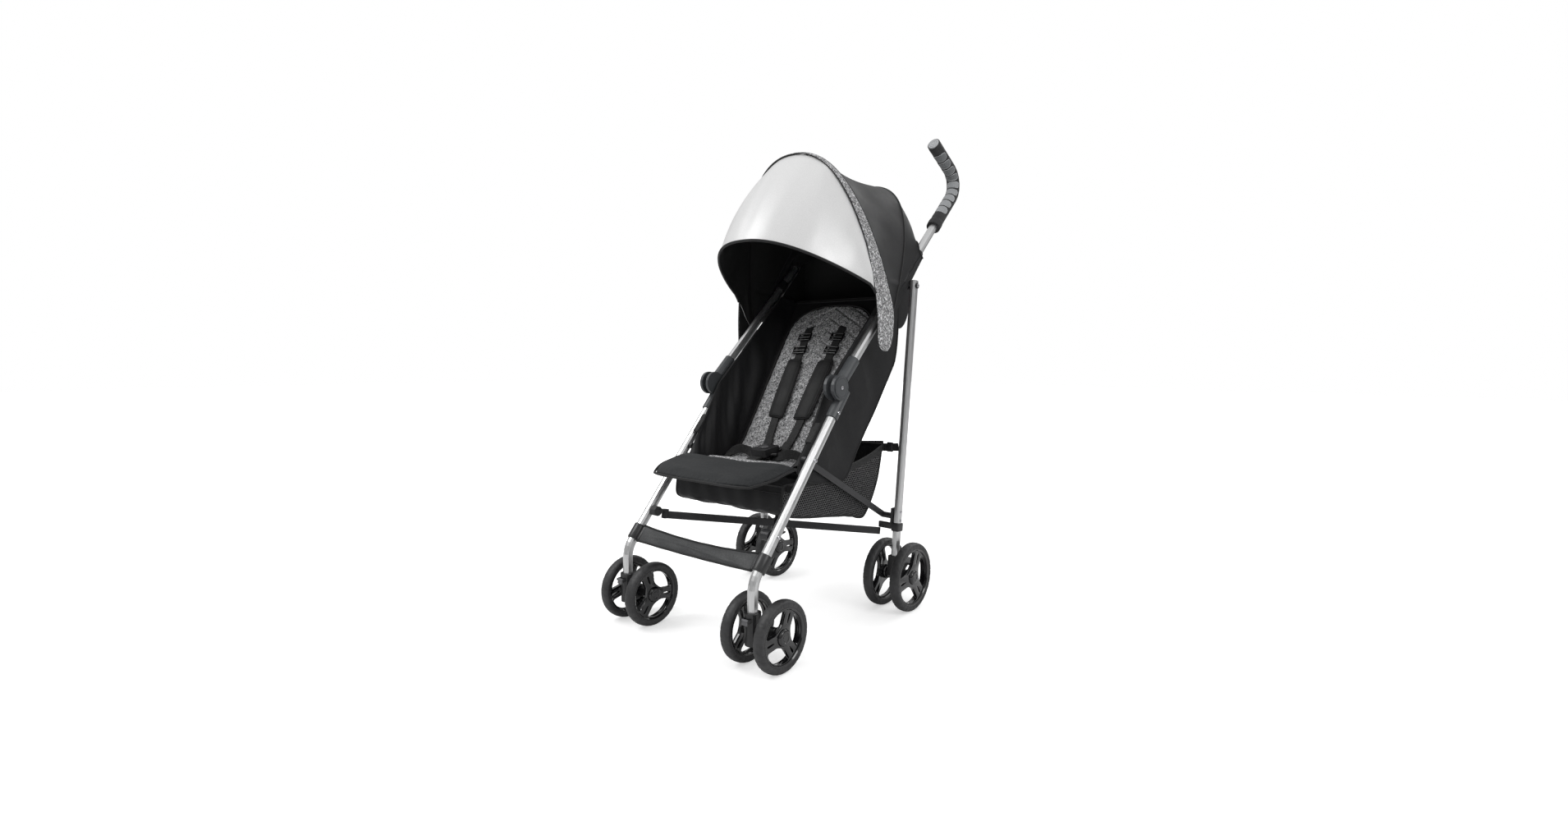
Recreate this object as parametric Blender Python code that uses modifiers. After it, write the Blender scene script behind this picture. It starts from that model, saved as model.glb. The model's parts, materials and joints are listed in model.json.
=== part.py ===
"""Lightweight folding stroller, at its real size in metres, +Z up, facing -Y, open for use."""

import math

import bmesh
import bpy
from mathutils import Matrix, Vector

# Clearance between neighbouring pieces
GAP = 0.0003
LOOSE = 0.0010

# Main tubes: one plane on each side, bent at the elbow hinge
TUBE_X = 0.187
TUBE_R = 0.0105
ELBOW_Y = 0.225
ELBOW_Z = 0.531
FRONT_ANGLE = math.radians(50.6)
FRONT_BEHIND = 0.029
PUSH_ANGLE = math.radians(44.2)
PUSH_BEHIND = 0.0035

# Elbow hinge
HUB_R = 0.027
HUB_WALL = 0.0070
TONGUE_HALF = 0.0058
TONGUE_R = 0.0150
TONGUE_BAR = 0.0095
HUB_PIN_R = 0.0040
SLEEVE_WALL = 0.0030
LOWER_SLEEVE = 0.060
LOWER_SLEEVE_TOP = 0.012
UPPER_SLEEVE_END = 0.086
TUBE_IN_ELBOW = 0.038

# Front leg foot
FOOT_Y = -0.033
BEND_R = 0.060
COLLAR_TOP = 0.1165
COLLAR_H = 0.0235
COLLAR_R = 0.0165
TUBE_IN_COLLAR = 0.0180
STEM_R = 0.0050
STEM_LENGTH = 0.033
FORK_R = 0.0150
FORK_BASE = 0.0060
FORK_ARM_HALF = 0.0110
LOCK_HALF = 0.0075
LOCK_PIN_R = 0.0015
LOCK_HUB_R = 0.0030
LOCK_REACH = 0.0075
LOCK_T = 0.0030

# Wheels
FRONT_WHEEL_R = 0.070
REAR_WHEEL_R = 0.0806
WHEEL_HALF = 0.0120
FRONT_PAIR = 0.042
REAR_PAIR = 0.036
TYRE_T = 0.0125
RIM_T = 0.0060
RIM_HALF = 0.0105
WHEEL_HUB_R = 0.0150
AXLE_R = 0.0045
AXLE_PAST = 0.0095
CAP_R = 0.0105
CAP_T = 0.0030
HOUSING_R = 0.0135

# Handle
HANDLE_CORNER = 0.751
HANDLE_ANGLE = math.radians(153)
HANDLE_END = 0.160
HANDLE_BEND_R = 0.045
GRIP_START = 0.5615
GRIP_WALL = 0.0060
GRIP_END_T = 0.0060

# Rear leg
REAR_LEG_X = 0.2085
REAR_LEG_W = 0.015
REAR_LEG_D = 0.020
REAR_LEG_CORNER = 0.0050
REAR_LEAN = math.atan(0.0997)
REAR_PIVOT_T = 0.3639
REAR_PIVOT_BEHIND = 0.0240
REAR_TOP_PAST = 0.012
REAR_FOOT_Z = 0.089
REAR_PIN_R = 0.0040
CLAMP_LENGTH = 0.030
CLAMP_WALL = 0.0033
EAR_HALF = 0.0080
REAR_AXLE_BEHIND = 0.0196
REAR_HOUSING_X = 0.2065
FOOT_WALL = 0.0035
FOOT_TOP = 0.130

# Brake lever
BRAKE_BEHIND = 0.0215
BRAKE_UP = 0.0200
BRAKE_HUB_R = 0.0050
BRAKE_PIN_R = 0.0020
BRAKE_REACH = 0.040
PEDAL_T = 0.0050
PEDAL_HALF = 0.0135

# Braces below the seat
BRACE_X = 0.1655
BRACE_T = 0.0045
BRACE_HALF = 0.0070
BRACE_FRONT_Z = 0.385
BRACE_REAR_Z = 0.220
BRACKET_H = 0.040
BRACKET_HALF = 0.0110
KNUCKLE_Z = 0.248
KNUCKLE_R = 0.0110
KNUCKLE_X = 0.1580
ARM_PIN_X = 0.164
ARM_PIN_BACK = 0.026
ARM_END_X = 0.158
ARM_END_BACK = 0.422
ARM_SLOPE = math.radians(8.2)
ARM_HALF = 0.0045
ARM_EYE_R = 0.0080
ARM_TALL = 0.0160
ARM_APART = 0.0010
ARM_PIN_R = 0.0030
EAR_T = 0.0040

# Footrest strap
FOOTREST_Z = 0.2025
FOOTREST_WIDTH = 0.037
FOOTREST_T = 0.0030
FOOTREST_CLAMP = 0.032
FOOTREST_WALL = 0.0030

# Seat sling
SLING_T = 0.0030
SEAT_FLAT_X = 0.142
SLING_X = 0.161
SIDE_FOLD = 0.0045
SIDE_FOLDS = 5
SEAT_FRONT = Vector((0.118, 0.362))
SEAT_SAG = Vector((0.172, 0.352))
SEAT_REAR = Vector((0.222, 0.350))
BACK_FOOT = Vector((0.264, 0.378))
BACK_LOW = Vector((0.311, 0.447))
BACK_HIGH = Vector((0.402, 0.590))
BACK_TOP = Vector((0.502, 0.738))
SIDE_START_Z = 0.372
SIDE_TOP_Z = 0.752
TAB_LENGTH = 0.050
TAB_T = 0.0030

# Padding
PAD_HALF_X = 0.128
PAD_T = 0.012
PAD_RIDGE = 0.0035
PAD_CHEVRONS = 8
PAD_EDGE = 0.0055
BACKREST_LEAN_SPLIT = 0.415
LEG_REST_HALF_X = 0.168
LEG_REST_DEEP = 0.122
LEG_REST_DROP = 0.026
LEG_REST_T = 0.018
LEG_REST_EDGE = 0.007

# Harness and buckle
STRAP_HALF = 0.011
STRAP_T = 0.0022
STRAP_X = 0.052
SLEEVE_HALF = 0.022
SLEEVE_T = 0.011
BUCKLE_W = 0.046
BUCKLE_H = 0.056
BUCKLE_T = 0.016
BUCKLE_CORNER = 0.0070
BUCKLE_LIFT = 0.0098
BUTTON_R = 0.0115
BUTTON_T = 0.0060
BUTTON_TRAVEL = 0.0030

# Basket
BASKET_TO_BRACE = 0.0075
BASKET_HALF_X = BRACE_X - BASKET_TO_BRACE
BASKET_T = 0.0030
BASKET_OVER = 0.0085
BASKET_HEM = 0.014
BASKET_SAG = 0.012
NET_STEP = 0.038
NET_CORD = 0.0045

# Canopy
CANOPY_T = 0.0025
CANOPY_PIVOT_T = 0.2125
CANOPY_PIVOT_BEHIND = 0.0247
CANOPY_X = 0.2100
BOW_ANGLE = math.radians(103)
BOW_RISE = 0.411
BOW_HALF_WIDTH = 0.013
BOW_T = 0.0060
REAR_BOW_ANGLE = math.radians(62)
REAR_BOW_RISE = 0.430
CANOPY_TO_TUBE = 0.0045
CANOPY_EDGE = 0.80
CANOPY_TIE_R = 0.0050
VISOR_REACH = 0.225
VISOR_X = 0.200
VISOR_ANGLE = math.radians(155.6)
CLIP_R = 0.0120

SEGMENTS = 16
WHEEL_STEPS = 20

MATERIALS = {
    "aluminium_tube": ((0.62, 0.62, 0.63), 0.32, 1.0),
    "hinge_plastic": ((0.055, 0.057, 0.062), 0.45, 0.0),
    "black_plastic": ((0.012, 0.012, 0.013), 0.38, 0.0),
    "grip_foam": ((0.016, 0.016, 0.017), 0.80, 0.0),
    "brace_black": ((0.015, 0.015, 0.016), 0.42, 0.3),
    "rim_gloss": ((0.007, 0.007, 0.008), 0.12, 0.0),
    "tyre_rubber": ((0.022, 0.022, 0.023), 0.75, 0.0),
    "nylon_black": ((0.010, 0.010, 0.012), 0.62, 0.0),
    "heather_grey": ((0.20, 0.20, 0.21), 0.90, 0.0),
    "charcoal_cloth": ((0.022, 0.022, 0.024), 0.88, 0.0),
    "visor_silver": ((0.55, 0.56, 0.57), 0.42, 0.0),
    "lever_grey": ((0.12, 0.12, 0.125), 0.50, 0.0),
}

X_AXIS = Vector((1, 0, 0))

for old in list(bpy.data.objects):
    bpy.data.objects.remove(old)

stroller = bpy.data.collections.new("stroller")
bpy.context.scene.collection.children.link(stroller)


def make_material(name):
    colour, roughness, metallic = MATERIALS[name]
    made = bpy.data.materials.new(name)
    made.use_nodes = True
    shader = made.node_tree.nodes["Principled BSDF"]
    shader.inputs["Base Color"].default_value = (*colour, 1)
    shader.inputs["Roughness"].default_value = roughness
    shader.inputs["Metallic"].default_value = metallic
    return made


materials = {name: make_material(name) for name in MATERIALS}


def on_plane(x, yz):
    return Vector((x, yz[0], yz[1]))


def along(angle):
    return Vector((math.cos(angle), math.sin(angle)))


def behind(angle):
    return Vector((math.sin(angle), -math.cos(angle)))


ELBOW = Vector((ELBOW_Y, ELBOW_Z))


def front_line(t, off=0.0):
    """Point of the front leg's line, t above the elbow's foot on it, off behind it."""
    return ELBOW + behind(FRONT_ANGLE) * (FRONT_BEHIND + off) + along(FRONT_ANGLE) * t


def front_at_z(z):
    return front_line((z - front_line(0).y) / math.sin(FRONT_ANGLE))


def push_line(t, off=0.0):
    return ELBOW + behind(PUSH_ANGLE) * (PUSH_BEHIND + off) + along(PUSH_ANGLE) * t


REAR_PIVOT = push_line(REAR_PIVOT_T, REAR_PIVOT_BEHIND)


def rear_line(z):
    return Vector((REAR_PIVOT.x + (z - REAR_PIVOT.y) * math.tan(REAR_LEAN), z))


def object_from(bm, name):
    mesh = bpy.data.meshes.new(name)
    bm.to_mesh(mesh)
    bm.free()
    made = bpy.data.objects.new(name, mesh)
    stroller.objects.link(made)
    return made


def face_out(bm):
    bmesh.ops.recalc_face_normals(bm, faces=bm.faces)
    if bm.calc_volume(signed=True) < 0:
        bmesh.ops.reverse_faces(bm, faces=bm.faces)


def baked(obj):
    """The object as a plain mesh in world coordinates, its caps welded."""
    bpy.context.view_layer.update()
    graph = bpy.context.evaluated_depsgraph_get()
    mesh = bpy.data.meshes.new_from_object(obj.evaluated_get(graph))
    bm = bmesh.new()
    bm.from_mesh(mesh)
    bmesh.ops.remove_doubles(bm, verts=bm.verts, dist=0.00001)
    bmesh.ops.transform(bm, matrix=obj.matrix_world, verts=bm.verts)
    face_out(bm)
    name = obj.name
    bpy.data.objects.remove(obj)
    bpy.data.meshes.remove(mesh)
    return object_from(bm, name)


def rod(a, b, radius, segments=SEGMENTS, end_radius=None):
    """A round bar from a to b."""
    bm = bmesh.new()
    length = (b - a).length
    last = radius if end_radius is None else end_radius
    bmesh.ops.create_cone(
        bm, cap_ends=True, segments=segments, radius1=radius, radius2=last, depth=length
    )
    turn = (b - a).to_track_quat("Z", "Y").to_matrix().to_4x4()
    bmesh.ops.transform(bm, matrix=Matrix.Translation((a + b) / 2) @ turn, verts=bm.verts)
    return object_from(bm, "rod")


def block(centre, size, turn_x=0.0):
    bm = bmesh.new()
    bmesh.ops.create_cube(bm, size=1.0)
    place = Matrix.Translation(centre) @ Matrix.Rotation(turn_x, 4, "X")
    bmesh.ops.transform(bm, matrix=place @ Matrix.Diagonal((*size, 1)), verts=bm.verts)
    return object_from(bm, "block")


def outline(loops, half):
    """A flat closed outline with holes, extruded half to each side of its own XY plane."""
    curve = bpy.data.curves.new("outline", "CURVE")
    curve.dimensions = "2D"
    curve.fill_mode = "BOTH"
    curve.extrude = half
    for loop in loops:
        spline = curve.splines.new("POLY")
        spline.points.add(len(loop) - 1)
        for point, (u, v) in zip(spline.points, loop):
            point.co = (u, v, 0, 1)
        spline.use_cyclic_u = True
    made = bpy.data.objects.new("outline", curve)
    stroller.objects.link(made)
    return made


def plate(loops, x_low, x_high):
    """An outline of (y, z) points, extruded from x_low to x_high."""
    made = outline(loops, (x_high - x_low) / 2)
    turn = Matrix(((0, 0, 1, 0), (1, 0, 0, 0), (0, 1, 0, 0), (0, 0, 0, 1)))
    made.matrix_world = Matrix.Translation(((x_low + x_high) / 2, 0, 0)) @ turn
    return baked(made)


def tube(points, radius, sides=4):
    """A round bar along points."""
    curve = bpy.data.curves.new("tube", "CURVE")
    curve.dimensions = "3D"
    curve.bevel_depth = radius
    curve.bevel_resolution = sides
    curve.use_fill_caps = True
    spline = curve.splines.new("POLY")
    spline.points.add(len(points) - 1)
    for point, place in zip(spline.points, points):
        point.co = (*place, 1)
    made = bpy.data.objects.new("tube", curve)
    stroller.objects.link(made)
    return baked(made)


def combine(base, others, operation, solver="EXACT"):
    """The base joined with, or cut by, each of the others in turn."""
    for other in others:
        step = base.modifiers.new("join", "BOOLEAN")
        step.operation = operation
        step.object = other
        step.solver = solver
        name = base.name
        base = baked(base)
        base.name = name
        bpy.data.objects.remove(other)
    return base


def join(base, *others, solver="EXACT"):
    return combine(base, others, "UNION", solver)


def cut(base, *others):
    return combine(base, others, "DIFFERENCE")


def circle(centre, radius, steps, start=0.0, sweep=2 * math.pi):
    count = steps if sweep >= 2 * math.pi - 1e-6 else steps + 1
    return [
        (
            centre[0] + radius * math.cos(start + sweep * k / steps),
            centre[1] + radius * math.sin(start + sweep * k / steps),
        )
        for k in range(count)
    ]


def capsule(a, b, half, steps=6):
    """The outline of a bar with round ends."""
    a, b = Vector(a), Vector(b)
    angle = math.atan2((b - a).y, (b - a).x)
    first = circle(b, half, steps, angle - math.pi / 2, math.pi)
    return first + circle(a, half, steps, angle + math.pi / 2, math.pi)


def fillet(before, corner, after, radius, steps):
    """Points of an arc of this radius between two straight runs."""
    u = (before - corner).normalized()
    w = (after - corner).normalized()
    half = math.acos(max(-1, min(1, u.dot(w)))) / 2
    centre = corner + (u + w).normalized() * radius / math.sin(half)
    start = corner + u * radius / math.tan(half)
    end = corner + w * radius / math.tan(half)
    from_centre, to_end = start - centre, end - centre
    swept = math.pi - 2 * half
    sign = 1 if from_centre.x * to_end.y - from_centre.y * to_end.x > 0 else -1
    points = []
    for k in range(steps + 1):
        turn = sign * swept * k / steps
        c, s = math.cos(turn), math.sin(turn)
        points.append(
            centre
            + Vector((from_centre.x * c - from_centre.y * s, from_centre.x * s + from_centre.y * c))
        )
    return points


def rounded(half_u, half_v, corner, steps=2):
    loop = []
    for quarter, (u, v) in enumerate(((1, 1), (-1, 1), (-1, -1), (1, -1))):
        centre = (u * (half_u - corner), v * (half_v - corner))
        loop += circle(centre, corner, steps, quarter * math.pi / 2, math.pi / 2)
    return loop


def sheet(rows, columns, front, back):
    """A closed soft solid between two surfaces of u, v in 0..1: a grid, pulled to thickness."""
    bm = bmesh.new()
    bmesh.ops.create_grid(bm, x_segments=rows, y_segments=columns, size=0.5)
    where = {v: (v.co.x + 0.5, v.co.y + 0.5) for v in bm.verts}
    pulled = bmesh.ops.extrude_face_region(bm, geom=bm.faces[:])["geom"]
    new = [v for v in pulled if isinstance(v, bmesh.types.BMVert)]
    for v in new:
        u, w = v.co.x + 0.5, v.co.y + 0.5
        v.co = front(u, w)
    for v, (u, w) in where.items():
        v.co = back(u, w)
    face_out(bm)
    return object_from(bm, "sheet")


bodies = {}

# Where each moving body turns or slides, in world coordinates
turning_points = {}


def add_body(name, at, parent=None):
    empty = bpy.data.objects.new(name, None)
    empty.empty_display_size = 0.03
    stroller.objects.link(empty)
    at = Vector(at)
    turning_points[name] = at
    empty.location = at
    if parent:
        empty.parent = bodies[parent]
        empty.location = at - turning_points[parent]
    bodies[name] = empty


def piece(obj, name, material, body_name):
    """Names a finished solid, gives it its material and hangs it on its body."""
    obj.name = name
    obj.data.name = name
    obj.data.materials.clear()
    obj.data.materials.append(materials[material])
    obj.data.transform(Matrix.Translation(-turning_points[body_name]))
    obj.parent = bodies[body_name]
    obj.data.shade_smooth()
    obj.data.set_sharp_from_angle(angle=math.radians(35))
    return obj


def both_sides(obj, name, material, body_name):
    """The right-hand solid, and its mirror image on the left."""
    other = obj.data.copy()
    other.transform(Matrix.Scale(-1, 4, X_AXIS))
    other.flip_normals()
    left = bpy.data.objects.new(name, other)
    stroller.objects.link(left)
    piece(obj, name + "_right", material, body_name + "_right")
    piece(left, name + "_left", material, body_name + "_left")


# Places that several pieces share
SLEEVE_R = TUBE_R + SLEEVE_WALL
BORE_R = TUBE_R + GAP
CHEEK_IN = TONGUE_HALF + LOOSE / 2
CHEEK_OUT = CHEEK_IN + HUB_WALL
FOOT_CORNER = Vector((FOOT_Y, front_line((FOOT_Y - front_line(0).x) / math.cos(FRONT_ANGLE)).y))
COLLAR_LOW = COLLAR_TOP - COLLAR_H
TUBE_FOOT = COLLAR_TOP - TUBE_IN_COLLAR
REAR_AXLE = Vector((rear_line(REAR_WHEEL_R).x + REAR_AXLE_BEHIND, REAR_WHEEL_R))
BRACE_FRONT = front_at_z(BRACE_FRONT_Z)
BRACE_REAR = rear_line(BRACE_REAR_Z)
KNUCKLE = front_at_z(KNUCKLE_Z)
CANOPY_PIVOT = push_line(CANOPY_PIVOT_T, CANOPY_PIVOT_BEHIND)
TUBE_IN = TUBE_X - TUBE_R
REAR_IN = REAR_LEG_X - REAR_LEG_W / 2
ARM_ACROSS = Vector((0, math.cos(ARM_SLOPE), -math.sin(ARM_SLOPE)))
ARM_NORMAL = Vector((0, math.sin(ARM_SLOPE), math.cos(ARM_SLOPE)))


def in_arm_plane(x, back, up=0.0):
    return Vector((x, KNUCKLE.x, KNUCKLE.y)) + ARM_ACROSS * back + ARM_NORMAL * up


# The whole part stands with its origin on the floor, under the middle of its box
handle_corner = push_line(HANDLE_CORNER)
handle_end = handle_corner + along(HANDLE_ANGLE) * HANDLE_END
handle_bend = fillet(push_line(0), handle_corner, handle_end, HANDLE_BEND_R, 6)
grip_rear = max(point.x for point in handle_bend) + TUBE_R + GRIP_WALL
MIDDLE_Y = (grip_rear - FRONT_WHEEL_R) / 2
origin = bpy.data.objects.new("stroller_origin", None)
stroller.objects.link(origin)
origin.location = (0, -MIDDLE_Y, 0)

# The moving bodies
add_body("seat", (0, ELBOW_Y, BRACE_FRONT_Z))
bodies["seat"].parent = origin
add_body("backrest", (0, BACK_FOOT.x, BACK_FOOT.y), "seat")
add_body("canopy", (0, ELBOW_Y, ELBOW_Z), "seat")
add_body("canopy_front", (0, CANOPY_PIVOT.x, CANOPY_PIVOT.y), "canopy")
add_body("visor", (0, CANOPY_PIVOT.x, CANOPY_PIVOT.y), "canopy_front")
for side, sign in (("right", 1), ("left", -1)):
    front = "front_" + side
    rear = "rear_" + side
    add_body(front, (sign * TUBE_X, FOOT_Y, COLLAR_TOP), "seat")
    add_body("push_" + side, (sign * TUBE_X, ELBOW_Y, ELBOW_Z), front)
    add_body(rear, on_plane(sign * REAR_LEG_X, REAR_PIVOT), "push_" + side)
    add_body("brace_" + side, on_plane(sign * BRACE_X, BRACE_FRONT), front)
    add_body("knuckle_" + side, on_plane(sign * TUBE_IN, KNUCKLE), front)
    add_body("arm_" + side, in_arm_plane(sign * ARM_PIN_X, ARM_PIN_BACK), "knuckle_" + side)
    add_body("caster_" + side, (sign * TUBE_X, FOOT_Y, COLLAR_LOW), front)
    lock_at = (sign * TUBE_X, FOOT_Y - COLLAR_R - LOCK_HUB_R - GAP, COLLAR_TOP - COLLAR_H / 2)
    add_body("lock_" + side, lock_at, front)
    brake_at = (sign * REAR_HOUSING_X, REAR_AXLE.x + BRAKE_BEHIND, REAR_AXLE.y + BRAKE_UP)
    add_body("brake_" + side, brake_at, rear)
    for place, shift in (("inner", -1), ("outer", 1)):
        x = sign * (TUBE_X + shift * FRONT_PAIR)
        add_body("front_wheel_" + place + "_" + side, (x, 0, FRONT_WHEEL_R), "caster_" + side)
        x = sign * (REAR_HOUSING_X + shift * REAR_PAIR)
        add_body("rear_wheel_" + place + "_" + side, on_plane(x, REAR_AXLE), rear)

# Front leg: straight from the elbow, bent upright above the caster
leg_bend = fillet(front_line(0), FOOT_CORNER, Vector((FOOT_Y, 0)), BEND_R, 5)
leg_path = [front_line(-0.0028)] + leg_bend + [Vector((FOOT_Y, TUBE_FOOT))]
both_sides(tube([on_plane(TUBE_X, p) for p in leg_path], TUBE_R), "front_leg", "aluminium_tube", "front")


def push_rod(t_low, t_high, radius, segments=SEGMENTS):
    return rod(on_plane(TUBE_X, push_line(t_low)), on_plane(TUBE_X, push_line(t_high)), radius, segments)


def front_rod(t_low, t_high, radius, segments=SEGMENTS):
    return rod(on_plane(TUBE_X, front_line(t_low)), on_plane(TUBE_X, front_line(t_high)), radius, segments)


def cross_rod(yz, x_low, x_high, radius, segments=SEGMENTS):
    return rod(on_plane(x_low, yz), on_plane(x_high, yz), radius, segments)


# Elbow, lower half: sleeve on the front leg, two cheeks and the pin between them
elbow = front_rod(-LOWER_SLEEVE, LOWER_SLEEVE_TOP, SLEEVE_R)
cheek_out = cross_rod(ELBOW, TUBE_X + CHEEK_IN, TUBE_X + CHEEK_OUT, HUB_R, 24)
cheek_in = cross_rod(ELBOW, TUBE_X - CHEEK_OUT, TUBE_X - CHEEK_IN, HUB_R, 24)
hub_pin = cross_rod(ELBOW, TUBE_X - CHEEK_OUT + LOOSE, TUBE_X + CHEEK_OUT - LOOSE, HUB_PIN_R, 12)
elbow = join(elbow, cheek_out, cheek_in, hub_pin)
elbow = cut(elbow, front_rod(-LOWER_SLEEVE - 0.01, -0.0028 + GAP, BORE_R))
both_sides(elbow, "elbow_lower", "hinge_plastic", "front")

# Elbow, upper half: tongue on the pin, and the sleeve of the push tube
sleeve_start = HUB_R + LOOSE
tongue = cross_rod(ELBOW, TUBE_X - TONGUE_HALF, TUBE_X + TONGUE_HALF, TONGUE_R)
bar_ends = (push_line(0, -TONGUE_BAR), push_line(0, TONGUE_BAR))
bar = [bar_ends[0], bar_ends[1]]
bar += [push_line(sleeve_start + 0.008, TONGUE_BAR), push_line(sleeve_start + 0.008, -TONGUE_BAR)]
bar_half = TONGUE_HALF - GAP
tongue = join(tongue, plate([bar], TUBE_X - bar_half, TUBE_X + bar_half))
tongue = join(tongue, push_rod(sleeve_start, UPPER_SLEEVE_END, SLEEVE_R))
pin_hole = cross_rod(ELBOW, TUBE_X - 0.02, TUBE_X + 0.02, HUB_PIN_R + GAP, 12)
tongue = cut(tongue, pin_hole, push_rod(TUBE_IN_ELBOW - GAP, UPPER_SLEEVE_END + 0.01, BORE_R))
both_sides(tongue, "elbow_upper", "hinge_plastic", "push")

# Push tube and its handle bend, with the grip over its end
push_path = [push_line(TUBE_IN_ELBOW)] + handle_bend + [handle_end]
both_sides(tube([on_plane(TUBE_X, p) for p in push_path], TUBE_R), "push_tube", "aluminium_tube", "push")
past = (handle_end - handle_bend[-1]).normalized()
grip_path = [push_line(GRIP_START)] + handle_bend + [handle_end + past * (GRIP_END_T + GAP)]
hole_path = [push_line(GRIP_START - 0.02)] + handle_bend + [handle_end + past * GAP]
grip = tube([on_plane(TUBE_X, p) for p in grip_path], TUBE_R + GRIP_WALL)
grip = cut(grip, tube([on_plane(TUBE_X, p) for p in hole_path], BORE_R))
both_sides(grip, "handle_grip", "grip_foam", "push")

# Clamp on the push tube with the pin that carries the rear leg
clamp_low, clamp_high = REAR_PIVOT_T - CLAMP_LENGTH / 2, REAR_PIVOT_T + CLAMP_LENGTH / 2
clamp = push_rod(clamp_low, clamp_high, TUBE_R + CLAMP_WALL)
ear_x = REAR_IN - LOOSE / 2
ear = plate([capsule(push_line(REAR_PIVOT_T, 0.006), REAR_PIVOT, EAR_HALF)], ear_x - 0.0105, ear_x)
leg_out = REAR_LEG_X + REAR_LEG_W / 2
pin = cross_rod(REAR_PIVOT, ear_x - 0.004, leg_out + 0.0015, REAR_PIN_R, 12)
head = cross_rod(REAR_PIVOT, leg_out + GAP, leg_out + 0.0025, REAR_PIN_R + 0.003, 16)
clamp = join(clamp, ear, pin, head)
clamp = cut(clamp, push_rod(clamp_low - 0.01, clamp_high + 0.01, BORE_R))
both_sides(clamp, "push_bracket", "black_plastic", "push")


def leg_solid(z_low, z_high, grow=0.0):
    """The rear leg's rounded section between two heights, grown all round."""
    loop = rounded(REAR_LEG_W / 2 + grow, REAR_LEG_D / 2 + grow, REAR_LEG_CORNER)
    length = (z_high - z_low) / math.cos(REAR_LEAN)
    made = outline([loop], length / 2)
    centre = on_plane(REAR_LEG_X, rear_line((z_low + z_high) / 2))
    made.matrix_world = Matrix.Translation(centre) @ Matrix.Rotation(-REAR_LEAN, 4, "X")
    return baked(made)


# Rear leg, drilled for its pivot pin
rear_top = REAR_PIVOT.y + REAR_TOP_PAST
leg = leg_solid(REAR_FOOT_Z, rear_top)
leg = cut(leg, cross_rod(REAR_PIVOT, REAR_IN - 0.01, leg_out + 0.01, REAR_PIN_R + GAP, 12))
both_sides(leg, "rear_leg", "aluminium_tube", "rear")

# Rear foot: socket for the leg, axle housing, axle and the brake lever's lugs
foot_half = REAR_LEG_W / 2 + FOOT_WALL
foot_side = REAR_LEG_D / 2 + FOOT_WALL
foot_top = rear_line(FOOT_TOP)
brake_pivot = REAR_AXLE + Vector((BRAKE_BEHIND, BRAKE_UP))
foot_loop = [
    foot_top + Vector((-foot_side, 0)),
    foot_top + Vector((foot_side, 0)),
    REAR_AXLE + Vector((HOUSING_R + 0.003, 0.012)),
    REAR_AXLE + Vector((HOUSING_R + 0.002, -0.006)),
    REAR_AXLE + Vector((HOUSING_R - 0.006, -HOUSING_R)),
    REAR_AXLE + Vector((-HOUSING_R + 0.004, -HOUSING_R)),
    rear_line(REAR_FOOT_Z) + Vector((-foot_side, -0.006)),
]
foot = plate([foot_loop], REAR_LEG_X - foot_half, REAR_LEG_X + foot_half)
housing_half = REAR_PAIR - WHEEL_HALF - GAP
housing_low = REAR_HOUSING_X - housing_half
housing_high = REAR_HOUSING_X + housing_half
foot = join(foot, cross_rod(REAR_AXLE, housing_low, housing_high, HOUSING_R))
axle_half = REAR_PAIR + AXLE_PAST
lug_out = foot_half - GAP
lug_in = lug_out - FOOT_WALL
lug = capsule(REAR_AXLE + Vector((0.006, 0.012)), brake_pivot, BRAKE_HUB_R)
lug_right = plate([lug], REAR_LEG_X + lug_in, REAR_LEG_X + lug_out)
lug_left = plate([lug], REAR_LEG_X - lug_out, REAR_LEG_X - lug_in)
brake_pin = cross_rod(brake_pivot, REAR_LEG_X - lug_in - 0.001, REAR_LEG_X + lug_in + 0.001, BRAKE_PIN_R, 10)
foot = join(foot, lug_right, lug_left, brake_pin)
foot = cut(foot, leg_solid(REAR_FOOT_Z - GAP, FOOT_TOP + 0.03, GAP))
axle = cross_rod(REAR_AXLE, REAR_HOUSING_X - axle_half, REAR_HOUSING_X + axle_half, AXLE_R, 12)
foot = join(foot, axle)
both_sides(foot, "rear_foot", "black_plastic", "rear")

# Brake lever: hub on the pin, pedal behind it
pedal_root = brake_pivot + Vector((BRAKE_HUB_R + 0.006, -0.001))
pedal_tip = brake_pivot + Vector((BRAKE_REACH, 0.004))
lever_half = lug_in - GAP
lever = cross_rod(brake_pivot, REAR_LEG_X - lever_half, REAR_LEG_X + lever_half, BRAKE_HUB_R, 14)
stalk_half = lever_half - GAP
stalk_loop = capsule(brake_pivot, pedal_root, PEDAL_T / 2)
stalk = plate([stalk_loop], REAR_LEG_X - stalk_half, REAR_LEG_X + stalk_half)
pedal_loop = capsule(pedal_root, pedal_tip, PEDAL_T / 2 + GAP)
pedal = plate([pedal_loop], REAR_LEG_X - PEDAL_HALF, REAR_LEG_X + PEDAL_HALF)
lever = join(lever, stalk, pedal)
lever = cut(lever, cross_rod(brake_pivot, REAR_LEG_X - 0.03, REAR_LEG_X + 0.03, BRAKE_PIN_R + GAP, 10))
both_sides(lever, "brake_lever", "lever_grey", "brake")

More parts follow.
